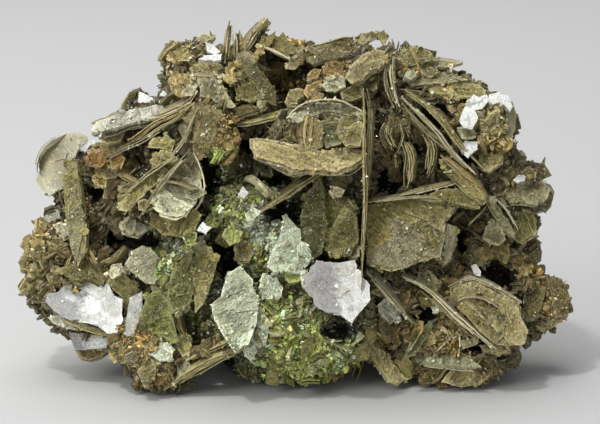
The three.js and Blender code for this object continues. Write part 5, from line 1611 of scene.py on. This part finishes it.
def scaleFinish():
    shader = Shader("fine scales")
    rim = shader.attribute("rim", "Fac")
    specks = shader.noise(2600.0, 3.0, 0.6)
    colour = shader.blend(specks.above(0.52, 0.66) * 0.5, shader.attribute("tint", "Color"), "dust")
    shader.set(Base_Color=colour, Roughness=rim * 0.4 + 0.12, Coat_Weight=0.3, Coat_Roughness=0.2)
    return shader.material


def clearFinish():
    shader = Shader("clear mica")
    rim = shader.attribute("rim", "Fac")
    patches = shader.noise(260.0, 5.0, 0.6)
    specks = shader.noise(1500.0, 4.0, 0.7)
    colour = shader.blend(patches.above(0.42, 0.68) * 0.6, "clearMica", "tan")
    colour = shader.blend(specks.above(0.56, 0.66) * 0.5, colour, "umber")
    colour = shader.blend(rim * 0.5, colour, "clearRim")
    shader.set(Base_Color=colour, Roughness=specks * 0.3 + 0.12, Transmission_Weight=0.45, IOR=1.58)
    shader.bump(patches + specks * 0.3, 0.4, 0.0004)
    return shader.material


print("making the finishes")
micaMaterial = micaFinish("iron stained mica", micaLook)
silverMaterial = micaFinish("silver mica", silverLook)
scaleMaterial = scaleFinish()
clearMaterial = clearFinish()
finishes = {"scalyMass": massFinish(), "silverBooks": silverMaterial, "clearBooks": clearMaterial}
finishes.update(dict.fromkeys(["scalesWest", "scalesEast", "scalesBack"], scaleMaterial))
for name, piece in pieces.items():
    piece.data.materials.clear()
    piece.data.materials.append(finishes.get(name, micaMaterial))
    wipeSelection()
    piece.select_set(True)
    bpy.context.view_layer.objects.active = piece
    if not name.startswith("scales"):
        bpy.ops.object.shade_smooth_by_angle(angle=math.radians(35))
    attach(piece, "root")
    if name == "scalyMass":
        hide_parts("muscovite_cluster")

print("setting the stage")
stage = {"half": 1.8, "back": 1.5, "bend": 0.4, "height": 1.6, "near": 0.01}
wipeSelection()
bpy.ops.mesh.primitive_plane_add(size=2 * stage["half"], location=(0, stage["back"] - stage["half"], 0))
floor = bpy.context.object
floor.name = "paleSweep"


def editBackEdge():  # into edit mode, with the edge along the back of the floor selected
    bpy.ops.object.mode_set(mode="EDIT")
    bpy.ops.mesh.select_mode(type="EDGE")
    bpy.ops.mesh.select_all(action="DESELECT")
    bpy.ops.object.mode_set(mode="OBJECT")
    for edge in floor.data.edges:
        ends = [floor.data.vertices[i].co for i in edge.vertices]
        edge.select = all(p.y > stage["half"] - stage["near"] and p.z < stage["near"] for p in ends)
    bpy.ops.object.mode_set(mode="EDIT")


editBackEdge()
bpy.ops.mesh.extrude_region_move(TRANSFORM_OT_translate={"value": (0, 0, stage["height"])})
editBackEdge()
bpy.ops.mesh.bevel(offset=stage["bend"], segments=12)
bpy.ops.object.mode_set(mode="OBJECT")
bpy.ops.object.shade_smooth()
bpy.ops.object.transform_apply(location=True, rotation=True, scale=True)
paper = Shader("pale paper")
# Painted light: one paper sweep, its wall painted brighter than its floor, blending over the first half metre
# of height.
paper.set(Base_Color=paper.blend(paper.axis(2).above(0.0, 0.5), "paperFloorPaintedDim", "paperWallPaintedBright"), Roughness=0.85)
floor.data.materials.append(paper.material)

cameraStyle = {"lens": 150, "sensor": 36, "nearest": 0.01}
cameraData = bpy.data.cameras.new("viewer")
cameraData.lens = cameraStyle["lens"]
cameraData.sensor_width = cameraStyle["sensor"]
cameraData.clip_start = cameraStyle["nearest"]
viewer = bpy.data.objects.new("viewer", cameraData)
bpy.context.scene.collection.objects.link(viewer)
eye = toPart(np.array([[0, layout["measuredDepth"] - layout["viewDistance"], layout["sightUp"]]]))[0]
viewer.matrix_world = Matrix.Translation(Vector(eye)) @ Matrix.Rotation(math.radians(90) - tilt, 4, "X")
bpy.context.scene.camera = viewer

print("hanging the lamps")
lamps = {  # place, aim and size in m, and watts
    "overhead": ((-0.25, 0.04, 0.72), (0, 0, 0.03), (1.30, 1.00), 7.0),
    "leftFront": ((-0.50, -0.65, 0.50), (0, 0, 0.03), (0.40, 0.40), 3.8),
    "frontFill": ((0.15, -1.00, 0.22), (0, 0, 0.02), (1.20, 0.40), 2.4),
    "sparkle": ((-0.25, -0.30, 0.80), (0, 0, 0.03), (0.06, 0.06), 3.0),
    "wallWash": ((0, 0.60, 1.4), (0, 1.50, 0.70), (1.4, 0.40), 13.5),
}
room = {"colour": (0.93, 0.95, 1.0, 1), "strength": 0.19}
for name, (place, aim, size, power) in lamps.items():
    lamp = bpy.data.lights.new(name, "AREA")
    lamp.shape = "RECTANGLE"
    lamp.size, lamp.size_y = size
    lamp.energy = power
    stand = bpy.data.objects.new(name, lamp)
    stand.location = place
    stand.rotation_euler = (Vector(aim) - Vector(place)).to_track_quat("-Z", "Y").to_euler()
    bpy.context.scene.collection.objects.link(stand)
world = bpy.data.worlds.new("room")
world.use_nodes = True
world.node_tree.nodes["Background"].inputs["Color"].default_value = room["colour"]
world.node_tree.nodes["Background"].inputs["Strength"].default_value = room["strength"]
bpy.context.scene.world = world
bpy.context.scene.view_settings.view_transform = "Standard"
